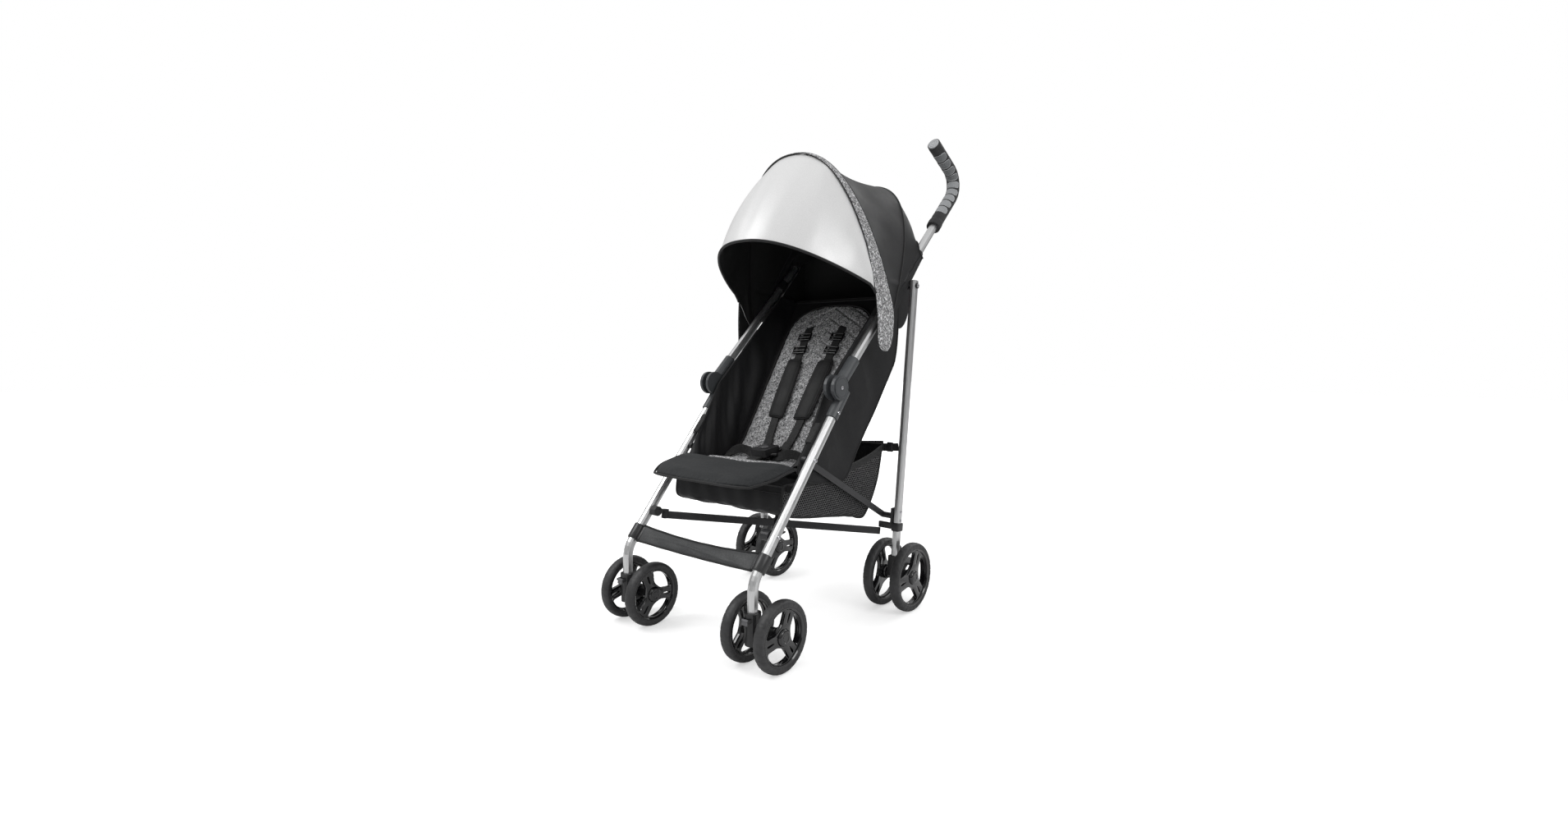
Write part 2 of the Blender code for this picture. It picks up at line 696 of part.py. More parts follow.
# Bracket on the rear leg where the side brace ends
bracket_low = rear_line(BRACE_REAR_Z - BRACKET_H / 2)
bracket_high = rear_line(BRACE_REAR_Z + BRACKET_H / 2)
bracket_loop = [
    bracket_low + Vector((-BRACKET_HALF, 0)),
    bracket_low + Vector((BRACKET_HALF, 0)),
    bracket_high + Vector((BRACKET_HALF, 0)),
    bracket_high + Vector((-BRACKET_HALF, 0)),
]
bracket_x = REAR_IN - GAP
bracket = plate([bracket_loop], bracket_x - 0.006, bracket_x)
boss = cross_rod(BRACE_REAR, BRACE_X + BRACE_T + GAP, bracket_x - 0.002, BRACE_HALF, 16)
both_sides(join(bracket, boss), "rear_bracket", "black_plastic", "rear")

# Side brace: flat bar with a boss against the front leg
brace = plate([capsule(BRACE_FRONT, BRACE_REAR, BRACE_HALF)], BRACE_X, BRACE_X + BRACE_T)
brace = join(brace, cross_rod(BRACE_FRONT, BRACE_X + 0.001, TUBE_IN - GAP, BRACE_HALF, 16))
both_sides(brace, "side_brace", "brace_black", "brace")


def in_plane_plate(loop, up, half):
    """An outline of (x, distance back) points in the plane of the crossing arms."""
    made = outline([loop], half)
    axes = Matrix.Identity(4)
    axes.col[0] = (*X_AXIS, 0)
    axes.col[1] = (*ARM_ACROSS, 0)
    axes.col[2] = (*ARM_NORMAL, 0)
    made.matrix_world = Matrix.Translation(in_arm_plane(0, 0, up)) @ axes
    return baked(made)


# Swivelling brackets on the front legs and the two arms that cross between front and rear
arm_lift = ARM_TALL / 2 + ARM_APART / 2
for side, sign in (("right", 1), ("left", -1)):
    lift = sign * arm_lift
    ear_up = -sign * (EAR_T / 2 + GAP - ARM_APART / 2)
    disc = rod(
        on_plane(sign * KNUCKLE_X, KNUCKLE), on_plane(sign * (TUBE_IN - GAP), KNUCKLE), KNUCKLE_R
    )
    front_pin = (sign * ARM_PIN_X, ARM_PIN_BACK)
    ear = in_plane_plate(capsule((sign * ARM_PIN_X, 0), front_pin, ARM_EYE_R), ear_up, EAR_T / 2)
    pin_low = in_arm_plane(*front_pin, ear_up)
    pin_high = in_arm_plane(*front_pin, lift + sign * (ARM_TALL / 2 + LOOSE))
    knuckle = join(disc, ear, rod(pin_low, pin_high, ARM_PIN_R, 10))
    piece(knuckle, "brace_knuckle_" + side, "black_plastic", "knuckle_" + side)
    arm = in_plane_plate(capsule(front_pin, (-sign * ARM_END_X, ARM_END_BACK), ARM_HALF), lift, ARM_TALL / 2)
    eye = in_plane_plate(circle(front_pin, ARM_EYE_R, 16), lift, ARM_TALL / 2)
    arm = join(arm, eye)
    hole_low = in_arm_plane(*front_pin, lift - ARM_TALL)
    hole_high = in_arm_plane(*front_pin, lift + ARM_TALL)
    arm = cut(arm, rod(hole_low, hole_high, ARM_PIN_R + GAP, 10))
    piece(arm, "under_brace_" + side, "brace_black", "arm_" + side)

# Collar at the foot of the front leg, with the stem the caster turns on and the lock's lugs


def foot_rod(z_low, z_high, radius, segments=SEGMENTS):
    return rod(Vector((TUBE_X, FOOT_Y, z_low)), Vector((TUBE_X, FOOT_Y, z_high)), radius, segments)


lock_pivot = Vector((FOOT_Y - COLLAR_R - LOCK_HUB_R - GAP, COLLAR_TOP - COLLAR_H / 2))
collar = foot_rod(COLLAR_LOW, COLLAR_TOP, COLLAR_R)
lug = capsule(Vector((FOOT_Y - COLLAR_R + 0.004, lock_pivot.y)), lock_pivot, LOCK_HUB_R, 4)
lock_lugs = [
    plate([lug], TUBE_X + LOCK_HALF + GAP, TUBE_X + LOCK_HALF + 0.003),
    plate([lug], TUBE_X - LOCK_HALF - 0.003, TUBE_X - LOCK_HALF - GAP),
    cross_rod(lock_pivot, TUBE_X - LOCK_HALF - 0.001, TUBE_X + LOCK_HALF + 0.001, LOCK_PIN_R, 10),
    foot_rod(COLLAR_LOW - STEM_LENGTH, COLLAR_LOW + 0.002, STEM_R, 12),
]
collar = join(collar, *lock_lugs)
collar = cut(collar, foot_rod(TUBE_FOOT - GAP, COLLAR_TOP + 0.02, BORE_R))
both_sides(collar, "caster_collar", "black_plastic", "front")

# Swivel lock lever on the collar
lock = cross_rod(lock_pivot, TUBE_X - LOCK_HALF, TUBE_X + LOCK_HALF, LOCK_HUB_R, 12)
lock_tip = lock_pivot + along(math.radians(-105)) * LOCK_REACH
lock_plate = LOCK_HALF - GAP
lock_loop = capsule(lock_pivot, lock_tip, LOCK_T / 2, 4)
lock = join(lock, plate([lock_loop], TUBE_X - lock_plate, TUBE_X + lock_plate))
lock = cut(lock, cross_rod(lock_pivot, TUBE_X - 0.02, TUBE_X + 0.02, LOCK_PIN_R + GAP, 10))
both_sides(lock, "swivel_lock", "lever_grey", "lock")

# Caster fork: hub on the stem, trailing arm and the axle
fork_top = COLLAR_LOW - GAP
fork_low = COLLAR_LOW - STEM_LENGTH - FORK_BASE
fork = foot_rod(fork_low, fork_top, FORK_R)
fork_loop = [
    Vector((FOOT_Y, fork_low + 0.001)),
    Vector((0, FRONT_WHEEL_R - HOUSING_R + 0.002)),
    Vector((0, FRONT_WHEEL_R + HOUSING_R - 0.002)),
    Vector((FOOT_Y, fork_top - 0.002)),
]
front_half = FRONT_PAIR - WHEEL_HALF - GAP
front_axle = Vector((0, FRONT_WHEEL_R))
front_axle_half = FRONT_PAIR + AXLE_PAST
fork = join(
    fork,
    plate([fork_loop], TUBE_X - FORK_ARM_HALF, TUBE_X + FORK_ARM_HALF),
    cross_rod(front_axle, TUBE_X - front_half, TUBE_X + front_half, HOUSING_R),
    cross_rod(front_axle, TUBE_X - front_axle_half, TUBE_X + front_axle_half, AXLE_R, 12),
)
fork = cut(fork, foot_rod(COLLAR_LOW - STEM_LENGTH - GAP, fork_top + 0.02, STEM_R + GAP, 12))
both_sides(fork, "caster_fork", "black_plastic", "caster")


# Wheels: a slotted three-spoke rim with its cap, and the tyre round it
def rim_solid(wheel_r, outward):
    outer = wheel_r - TYRE_T
    inside = outer - RIM_T
    loops = [circle((0, 0), outer, WHEEL_STEPS), circle((0, 0), AXLE_R + GAP, 10)]
    spoke_half = math.radians(17)
    slot_half = math.radians(5.5)
    for spoke in range(3):
        middle = spoke * 2 * math.pi / 3 + math.pi / 2
        window = circle((0, 0), inside, 4, middle + spoke_half, 2 * math.pi / 3 - 2 * spoke_half)
        inner = WHEEL_HUB_R + 0.003
        wide = math.radians(34)
        window += circle((0, 0), inner, 2, middle + 2 * math.pi / 3 - wide, 2 * wide - 2 * math.pi / 3)
        loops.append(window)
        slot = circle((0, 0), inside - 0.001, 1, middle - slot_half, 2 * slot_half)
        slot += circle((0, 0), WHEEL_HUB_R + 0.007, 1, middle + 0.11, -0.22)
        loops.append(slot)
    rim = baked(outline(loops, RIM_HALF))
    rim.data.transform(Matrix.Rotation(outward * math.pi / 2, 4, "Y"))
    cap_from = AXLE_PAST + GAP
    cap = rod(
        Vector((outward * cap_from, 0, 0)), Vector((outward * (cap_from + CAP_T), 0, 0)), CAP_R, 16
    )
    return join(rim, cap)


def tyre_solid(wheel_r):
    """Turned round Z, then laid over: the profile runs top to bottom on its outer side."""
    inner = wheel_r - TYRE_T + GAP
    profile = [
        (inner, RIM_HALF),
        (wheel_r - 0.004, WHEEL_HALF),
        (wheel_r, WHEEL_HALF - 0.005),
        (wheel_r, -WHEEL_HALF + 0.005),
        (wheel_r - 0.004, -WHEEL_HALF),
        (inner, -RIM_HALF),
    ]
    bm = bmesh.new()
    verts = [bm.verts.new((r, 0, h)) for r, h in profile]
    for k, vert in enumerate(verts):
        bm.edges.new((vert, verts[(k + 1) % len(verts)]))
    made = object_from(bm, "tyre")
    turn = made.modifiers.new("turn", "SCREW")
    turn.axis = "Z"
    turn.steps = WHEEL_STEPS
    turn.render_steps = WHEEL_STEPS
    turn.use_merge_vertices = True
    turn.merge_threshold = 0.0001
    made = baked(made)
    made.data.transform(Matrix.Rotation(math.pi / 2, 4, "Y"))
    return made


def hang(mesh, name, material, body_name):
    made = bpy.data.objects.new(name, mesh)
    stroller.objects.link(made)
    made.parent = bodies[body_name]
    mesh.materials.clear()
    mesh.materials.append(materials[material])
    mesh.shade_smooth()
    mesh.set_sharp_from_angle(angle=math.radians(35))


for axle, wheel_r in (("front", FRONT_WHEEL_R), ("rear", REAR_WHEEL_R)):
    tyre = tyre_solid(wheel_r)
    for outward in (1, -1):
        rim = rim_solid(wheel_r, outward)
        for side, sign in (("right", 1), ("left", -1)):
            place = "outer" if outward == sign else "inner"
            carrier = axle + "_wheel_" + place + "_" + side
            hang(rim.data, axle + "_rim_" + place + "_" + side, "rim_gloss", carrier)
            hang(tyre.data, axle + "_tyre_" + place + "_" + side, "tyre_rubber", carrier)
        bpy.data.objects.remove(rim)
    bpy.data.objects.remove(tyre)


# Soft parts. The seat's profile runs back along the seat and up the back.
def curve_through(points, t):
    """A smooth curve through points, t in 0..1."""
    scaled = min(max(t, 0), 1) * (len(points) - 1)
    k = min(int(scaled), len(points) - 2)
    f = scaled - k
    p1, p2 = points[k], points[k + 1]
    p0 = points[k - 1] if k else p1 * 2 - p2
    p3 = points[k + 2] if k + 2 < len(points) else p2 * 2 - p1
    cubic = (p1 * 3 - p0 - p2 * 3 + p3) * f**3
    square = (p0 * 2 - p1 * 5 + p2 * 4 - p3) * f**2
    return (cubic + square + (p2 - p0) * f + p1 * 2) / 2


SEAT_CURVE = [SEAT_FRONT, SEAT_SAG, SEAT_REAR, BACK_FOOT, BACK_LOW, BACK_HIGH, BACK_TOP]
SEAT_ROWS = 24
seat_knots = [curve_through(SEAT_CURVE, k / SEAT_ROWS) for k in range(SEAT_ROWS + 1)]


def seat_normal(k):
    low, high = seat_knots[max(k - 1, 0)], seat_knots[min(k + 1, SEAT_ROWS)]
    run = (high - low).normalized()
    return Vector((-run.y, run.x))


def seat_at(u, x, lift):
    """Point over the seat, u in 0..1 along it, lift above its cloth."""
    scaled = min(max(u, 0), 1) * SEAT_ROWS
    k = min(int(scaled), SEAT_ROWS - 1)
    f = scaled - k
    middle = seat_knots[k].lerp(seat_knots[k + 1], f)
    up = seat_normal(k).lerp(seat_normal(k + 1), f)
    return on_plane(x, middle + up * lift)


side_start = front_at_z(SIDE_START_Z)
side_top = push_line((SIDE_TOP_Z - push_line(0).y) / math.sin(PUSH_ANGLE))
lower_run = (ELBOW - side_start).length
upper_run = (side_top - ELBOW).length


def side_edge(u):
    """Where the side panel meets the tubes: up the front leg, then up the push tube."""
    run = u * (lower_run + upper_run)
    if run < lower_run:
        return side_start.lerp(ELBOW, run / lower_run)
    return ELBOW.lerp(side_top, (run - lower_run) / upper_run)


FLAT_SHARE = 0.25


def sling_surface(u, v, lift=0.0):
    """v in 0..1 goes from the left tubes, down the panel, across the seat and up the other side."""
    side = -1 if v < 0.5 else 1
    edge = min(v, 1 - v)
    if edge >= FLAT_SHARE:
        share = (0.5 - edge) / (0.5 - FLAT_SHARE)
        return seat_at(u, side * SEAT_FLAT_X * share, lift)
    rise = 1 - edge / FLAT_SHARE
    low, high = seat_at(u, 0, lift), side_edge(u)
    spread = (SLING_X - SEAT_FLAT_X) * math.sin(rise * math.pi / 2)
    fold = SIDE_FOLD * math.sin(math.pi * rise) * (0.5 - 0.5 * math.cos(2 * math.pi * SIDE_FOLDS * u))
    place = Vector((low.y, low.z)).lerp(high, rise)
    return on_plane(side * (SEAT_FLAT_X + spread - fold), place)


def sling_back(u, v):
    side = -1 if v < 0.5 else 1
    edge = min(v, 1 - v)
    front = sling_surface(u, v)
    if edge >= FLAT_SHARE:
        outward = 0.5 * (edge < FLAT_SHARE + 1e-6)
        return sling_surface(u, v, -SLING_T) + X_AXIS * side * SLING_T * outward
    return front + X_AXIS * side * SLING_T


sling = sheet(SEAT_ROWS, 12, sling_surface, sling_back)


def tab(at, angle):
    """A cloth loop that meets a tube's inner side."""
    reach = TUBE_IN - GAP - SLING_X
    centre = on_plane(SLING_X + reach / 2, at)
    return block(centre, (reach, TAB_LENGTH, TAB_T * 2), angle)


leg_tab_at = side_edge(0.15)
push_tab_at = side_edge(0.86)
tabs = [tab(leg_tab_at, FRONT_ANGLE), tab(push_tab_at, PUSH_ANGLE)]
for first in list(tabs):
    mirrored = first.data.copy()
    mirrored.transform(Matrix.Scale(-1, 4, X_AXIS))
    mirrored.flip_normals()
    other = bpy.data.objects.new("tab", mirrored)
    stroller.objects.link(other)
    tabs.append(other)
sling = join(sling, *tabs)
piece(sling, "seat_sling", "nylon_black", "seat")


def pad_between(u_low, u_high, rows):
    """Quilted padding: a crown across, drawn-in edges and stitched chevrons."""

    def back(u, v):
        return seat_at(u_low + (u_high - u_low) * u, PAD_HALF_X * (2 * v - 1), LOOSE / 2)

    def front(u, v):
        across = abs(2 * v - 1)
        at = u_low + (u_high - u_low) * u
        edge = min(1, (1 - across) * 4, u * rows / 2, (1 - u) * rows / 2)
        edge = math.sin(max(edge, 0) * math.pi / 2)
        stitch = 0.5 - 0.5 * math.cos(2 * math.pi * (at * PAD_CHEVRONS * 1.45 + across * 0.9))
        lift = PAD_EDGE + edge * (PAD_T - PAD_EDGE - PAD_RIDGE + PAD_RIDGE * stitch)
        inset = 0.0015 * (1 - edge)
        x = (PAD_HALF_X - inset) * (2 * v - 1)
        return seat_at(at, x, lift)

    return sheet(rows, 10, front, back)


piece(pad_between(0.035, BACKREST_LEAN_SPLIT, 14), "seat_pad", "heather_grey", "seat")
piece(pad_between(BACKREST_LEAN_SPLIT + 0.02, 0.955, 22), "backrest_pad", "heather_grey", "backrest")

# Leg rest: a padded panel in front of the seat, its front corners rounded
leg_back = SEAT_FRONT + Vector((-LOOSE / 2, LEG_REST_T / 4))


def leg_rest_point(u, v, side):
    across = 2 * v - 1
    corner = 1 - 0.10 * max(0, 1 - u * 3) ** 2
    x = LEG_REST_HALF_X * across * corner
    bow = 0.006 * math.cos(across * math.pi / 2)
    y = leg_back.x - (LEG_REST_DEEP + bow) * (1 - u)
    z = leg_back.y - LEG_REST_DROP * (1 - u) ** 1.3
    edge = math.sin(min(1, (1 - abs(across)) * 5, u * 5, (1 - u) * 7) * math.pi / 2)
    half = (LEG_REST_EDGE + (LEG_REST_T - LEG_REST_EDGE) * edge) / 2
    gather = 0.0012 * math.sin(across * 40) * (1 - edge)
    return Vector((x, y, z + side * (half + gather)))


leg_rest = sheet(8, 14, lambda u, v: leg_rest_point(u, v, 1), lambda u, v: leg_rest_point(u, v, -1))
piece(leg_rest, "leg_rest", "charcoal_cloth", "seat")

# Footrest: a strap between the front legs with a clamp round each
footrest_mid = front_at_z(FOOTREST_Z)
footrest_half = TUBE_X - TUBE_R - FOOTREST_WALL + 0.002
footrest = block(
    on_plane(0, footrest_mid), (2 * footrest_half, FOOTREST_WIDTH, FOOTREST_T), FRONT_ANGLE
)
footrest_t = (FOOTREST_Z - front_line(0).y) / math.sin(FRONT_ANGLE)
for sign in (1, -1):
    ends = [front_line(footrest_t + k * FOOTREST_CLAMP / 2) for k in (-1, 1)]
    ring = rod(on_plane(sign * TUBE_X, ends[0]), on_plane(sign * TUBE_X, ends[1]), TUBE_R + FOOTREST_WALL)
    footrest = join(footrest, ring)
for sign in (1, -1):
    ends = [front_line(footrest_t + k * FOOTREST_CLAMP) for k in (-1, 1)]
    hole = rod(on_plane(sign * TUBE_X, ends[0]), on_plane(sign * TUBE_X, ends[1]), BORE_R)
    footrest = cut(footrest, hole)
piece(footrest, "footrest", "nylon_black", "seat")


def strap(path, half, low, high, rows):
    """A flat strap along path(u) -> (seat u, x), between two heights over the seat."""

    def at(u, v, lift):
        seat_u, x = path(u)
        ahead = path(min(u + 0.02, 1))
        here = path(max(u - 0.02, 0))
        run = Vector((seat_at(ahead[0], 0, 0) - seat_at(here[0], 0, 0)))
        lean = Vector((ahead[1] - here[1], run.length))
        lean.normalize()
        shift = (2 * v - 1) * half
        back_u = seat_u - shift * lean.x / SEAT_LENGTH
        return seat_at(back_u, x + shift * lean.y, lift)

    return sheet(rows, 1, lambda u, v: at(u, v, high), lambda u, v: at(u, v, low))


SEAT_LENGTH = sum((seat_knots[k + 1] - seat_knots[k]).length for k in range(SEAT_ROWS))
WAIST_U = 0.31
SHOULDER_U = 0.94
STRAP_LIFT = PAD_T + GAP
strap_low, strap_high = STRAP_LIFT, STRAP_LIFT + STRAP_T
parts = []
for sign in (1, -1):
    parts.append(
        strap(lambda u: (WAIST_U + (SHOULDER_U - WAIST_U) * u, sign * (0.014 + (STRAP_X - 0.014) * u ** 0.7)),
              STRAP_HALF, strap_low, strap_high, 18)
    )
    parts.append(
        strap(lambda u: (WAIST_U + 0.36 + 0.16 * u, sign * (0.034 + 0.012 * u)),
              SLEEVE_HALF, strap_low - 0.0002, strap_low + SLEEVE_T, 6)
    )
crotch_half = STRAP_HALF + 0.006
crotch_low = strap_low + 0.0001
crotch_high = strap_high - 0.0001
parts.append(strap(lambda u: (WAIST_U - 0.16 + 0.165 * u, 0.0), crotch_half, crotch_low, crotch_high, 4))
waist = sheet(
    2, 8,
    lambda u, v: seat_at(WAIST_U - 0.012 + 0.024 * u, 0.118 * (2 * v - 1), strap_high + 0.0003),
    lambda u, v: seat_at(WAIST_U - 0.012 + 0.024 * u, 0.118 * (2 * v - 1), strap_low + 0.0004),
)
harness = join(waist, *parts, solver="MANIFOLD")
piece(harness, "harness", "nylon_black", "seat")

# Buckle over the crossing of the straps, and its push button
buckle_lift = STRAP_LIFT + STRAP_T + 0.0003 + GAP
buckle_u = WAIST_U
buckle_base = seat_at(buckle_u, 0, buckle_lift + BUCKLE_LIFT)
buckle_up = (seat_at(buckle_u, 0, 1) - seat_at(buckle_u, 0, 0)).normalized()
buckle_run = buckle_up.cross(X_AXIS).normalized()
frame = Matrix.Identity(4)
frame.col[0], frame.col[1], frame.col[2] = (*X_AXIS, 0), (*(-buckle_run), 0), (*buckle_up, 0)
buckle_frame = Matrix.Translation(buckle_base + buckle_up * BUCKLE_T / 2) @ frame
if buckle_frame.to_3x3().determinant() < 0:
    frame.col[1] = (*buckle_run, 0)
    buckle_frame = Matrix.Translation(buckle_base + buckle_up * BUCKLE_T / 2) @ frame
shell = outline([rounded(BUCKLE_W / 2, BUCKLE_H / 2, BUCKLE_CORNER, 3)], BUCKLE_T / 2)
shell.matrix_world = buckle_frame
buckle = baked(shell)
button_top = BUCKLE_T / 2 + 0.001
pocket_low = button_top - BUTTON_T - BUTTON_TRAVEL - GAP
buckle = cut(
    buckle,
    rod(buckle_frame @ Vector((0, 0, pocket_low)), buckle_frame @ Vector((0, 0, 0.03)), BUTTON_R + GAP),
)
add_body("buckle_lift", on_plane(0, KNUCKLE), "seat")
piece(buckle, "buckle", "black_plastic", "buckle_lift")
add_body("button", buckle_frame @ Vector((0, 0, button_top - BUTTON_T / 2)), "buckle_lift")
button = rod(
    buckle_frame @ Vector((0, 0, button_top - BUTTON_T)), buckle_frame @ Vector((0, 0, button_top)), BUTTON_R
)
piece(button, "buckle_button", "rim_gloss", "button")

# Basket: sheet front, floor and back, with a net on each side
def arms_top(y):
    """Height of the crossing arms' upper side."""
    plane = KNUCKLE.y - (y - KNUCKLE.x) * math.tan(ARM_SLOPE)
    return plane + (ARM_TALL + ARM_APART / 2) / math.cos(ARM_SLOPE)


BASKET_FRONT = [Vector((0.085, 0.335)), Vector((0.080, 0.280))]
BASKET_FLOOR = [Vector((y, arms_top(y) + BASKET_OVER)) for y in (0.130, 0.230, 0.324, 0.385)]
BASKET_REAR = [Vector((0.440, 0.300)), Vector((0.463, 0.386))]
basket_line = BASKET_FRONT + BASKET_FLOOR + BASKET_REAR
BASKET_ROWS = 14


def basket_knot(k):
    return curve_through(basket_line, k / BASKET_ROWS)


def basket_surface(u, v, lift):
    scaled = u * BASKET_ROWS
    k = min(max(round(scaled), 0), BASKET_ROWS)
    run = (basket_knot(min(k + 1, BASKET_ROWS)) - basket_knot(max(k - 1, 0))).normalized()
    sag = BASKET_SAG * abs(2 * v - 1) ** 6 * math.sin(math.pi * u) ** 4
    return on_plane((2 * v - 1) * BASKET_HALF_X, basket_knot(k) + Vector((-run.y, run.x)) * (lift - sag))


basket = sheet(
    BASKET_ROWS, 8,
    lambda u, v: basket_surface(u, v, BASKET_T),
    lambda u, v: basket_surface(u, v, 0.0),
)


net_knots = [basket_surface(k / BASKET_ROWS, 1.0, BASKET_T / 2) for k in range(BASKET_ROWS + 1)]
net_edge = [Vector((p.y, p.z)) for p in net_knots]
NET_TOP = [Vector((0.400, 0.366)), Vector((0.311, 0.349)), Vector((0.200, 0.338))]
net_loop = net_edge + NET_TOP


def inside(point, loop):
    hit = False
    for k in range(len(loop)):
        a, b = loop[k], loop[k - 1]
        if (a.y > point.y) != (b.y > point.y):
            if point.x < (b.x - a.x) * (point.y - a.y) / (b.y - a.y) + a.x:
                hit = not hit
    return hit


def far_inside(point, loop, margin):
    ring = circle(point, margin, 10)
    return all(inside(Vector(p), loop) for p in ring)


net_loops = [[tuple(p) for p in net_loop]]
half_gap = (NET_STEP - NET_CORD) / 2
for row in range(-12, 13):
    for column in range(-14, 15):
        shift = NET_STEP / 2 * (row % 2)
        centre = Vector((0.26 + column * NET_STEP + shift, 0.29 + row * NET_STEP * 0.62))
        if far_inside(centre, net_loop, half_gap + BASKET_HEM / 2):
            tall = half_gap * 0.72
            net_loops.append(
                [
                    (centre.x + half_gap, centre.y),
                    (centre.x + half_gap * 0.4, centre.y + tall),
                    (centre.x - half_gap * 0.4, centre.y + tall),
                    (centre.x - half_gap, centre.y),
                    (centre.x - half_gap * 0.4, centre.y - tall),
                    (centre.x + half_gap * 0.4, centre.y - tall),
                ]
            )
for sign in (1, -1):
    low, high = sorted((sign * (BASKET_HALF_X - BASKET_T * 0.8), sign * (BASKET_HALF_X + 0.0005)))
    basket = join(basket, plate(net_loops, low, high), solver="MANIFOLD")


def basket_tie(yz, x_high, sign):
    """A strap from the basket's corner to a leg's inner side."""
    length = x_high - BASKET_HALF_X + 2 * BASKET_T
    centre = on_plane(sign * (x_high - length / 2), yz)
    return block(centre, (length, BASKET_HEM, 2 * BASKET_T), 0.0)


rear_tie = Vector((rear_line(BASKET_REAR[1].y).x - BASKET_HEM / 4, BASKET_REAR[1].y - 2 * BASKET_T))
front_tie = Vector((front_at_z(BASKET_FRONT[0].y).x - BASKET_HEM / 4, BASKET_FRONT[0].y - 2 * BASKET_T))
for sign in (1, -1):
    basket = join(basket, basket_tie(rear_tie, REAR_IN - GAP, sign), solver="MANIFOLD")
    basket = join(basket, basket_tie(front_tie, TUBE_IN - GAP, sign), solver="MANIFOLD")
piece(basket, "basket", "nylon_black", "seat")


# Canopy: bows pivot together at the clips on the push tubes
def arch(share, half_x, rise, power, root):
    """(x, height) on an arch, share in -1..1 from tip to tip."""
    x = half_x * math.sin(share * math.pi / 2)
    height = rise * max(0.0, 1 - abs(x / half_x) ** power) ** (1 / root)
    return x, height


def from_pivot(x, r, angle):
    return on_plane(x, CANOPY_PIVOT + along(angle) * r)


TIP = 0.94


def bow_curve(v, shrink=0.0):
    x, r = arch(TIP * (2 * v - 1), CANOPY_X - shrink, BOW_RISE - shrink, 2.3, 1.85)
    return x, r


REAR_HEM_X = TUBE_IN - CANOPY_TO_TUBE
REAR_BOW_X = (REAR_HEM_X - 0.0005) / math.sin(CANOPY_EDGE * math.pi / 2)


def rear_bow_point(v):
    x, r = arch(CANOPY_EDGE * (2 * v - 1), REAR_BOW_X, REAR_BOW_RISE, 2.3, 2.1)
    return from_pivot(x, r, REAR_BOW_ANGLE)


HEM_SIDE = push_line(0.452, -0.002)
HEM_RISE = Vector((0.100, 0.045))


def rear_hem_point(v):
    share = 2 * v - 1
    x = REAR_HEM_X * math.sin(share * math.pi / 2)
    rise = max(0.0, 1 - abs(x / REAR_HEM_X) ** 1.8) ** (1 / 1.5)
    return on_plane(x, HEM_SIDE + HEM_RISE * rise)


def canopy_point(u, v, lift=0.0):
    """u in 0..1 from just behind the front bow, over the rear bow, to the rear hem."""
    x, r = arch(CANOPY_EDGE * (2 * v - 1), CANOPY_X, BOW_RISE, 2.3, 1.85)
    front = from_pivot(x, r, BOW_ANGLE) + on_plane(0, behind(BOW_ANGLE)) * (BOW_HALF_WIDTH + GAP)
    middle = rear_bow_point(v)
    if u < 0.6:
        f = u / 0.6
        sag = 0.012 * math.sin(math.pi * f) * math.sin(math.pi * v)
        made = front.lerp(middle, f)
        pivot = on_plane(0, CANOPY_PIVOT)
        made -= (made - pivot).normalized() * sag
    else:
        f = (u - 0.6) / 0.4
        made = middle.lerp(rear_hem_point(v), f)
        made += Vector((0, 0.85, 0.5)) * 0.022 * math.sin(math.pi * f) * math.sin(math.pi * v)
    centre = on_plane(0, CANOPY_PIVOT + Vector((0.05, 0.02)))
    return made - (made - centre).normalized() * lift


canopy = sheet(9, 16, canopy_point, lambda u, v: canopy_point(u, v, CANOPY_T))
for sign in (1, -1):
    tie_in = on_plane(sign * (REAR_HEM_X - 2 * CANOPY_TIE_R), HEM_SIDE)
    tie_out = on_plane(sign * (TUBE_IN - GAP), HEM_SIDE)
    canopy = join(canopy, rod(tie_in, tie_out, CANOPY_TIE_R, 8))
piece(canopy, "canopy_shell", "nylon_black", "canopy")


def bow_point(u, v, lift):
    x, r = bow_curve(v, lift)
    spread = (u - 0.5) * 2 * BOW_HALF_WIDTH
    return from_pivot(x, r, BOW_ANGLE) + on_plane(0, behind(BOW_ANGLE)) * spread


bow = sheet(1, 18, lambda u, v: bow_point(u, v, 0.0), lambda u, v: bow_point(u, v, BOW_T))
lobe_x, lobe_r = bow_curve(1.0)
lobe_x -= BOW_T
for sign in (1, -1):
    clip_in = on_plane(sign * (lobe_x - 0.0005), CANOPY_PIVOT)
    clip_out = on_plane(sign * (lobe_x + 0.0045), CANOPY_PIVOT)
    clip = rod(clip_in, clip_out, CLIP_R)
    arm_end = CANOPY_PIVOT + along(BOW_ANGLE) * (lobe_r + 0.012)
    arm = plate([capsule(CANOPY_PIVOT, arm_end, CLIP_R - GAP)], -0.0022, 0.0022)
    arm.data.transform(Matrix.Translation((sign * (lobe_x + 0.002), 0, 0)))
    bow = join(bow, clip, arm)
piece(bow, "canopy_bow", "heather_grey", "canopy_front")


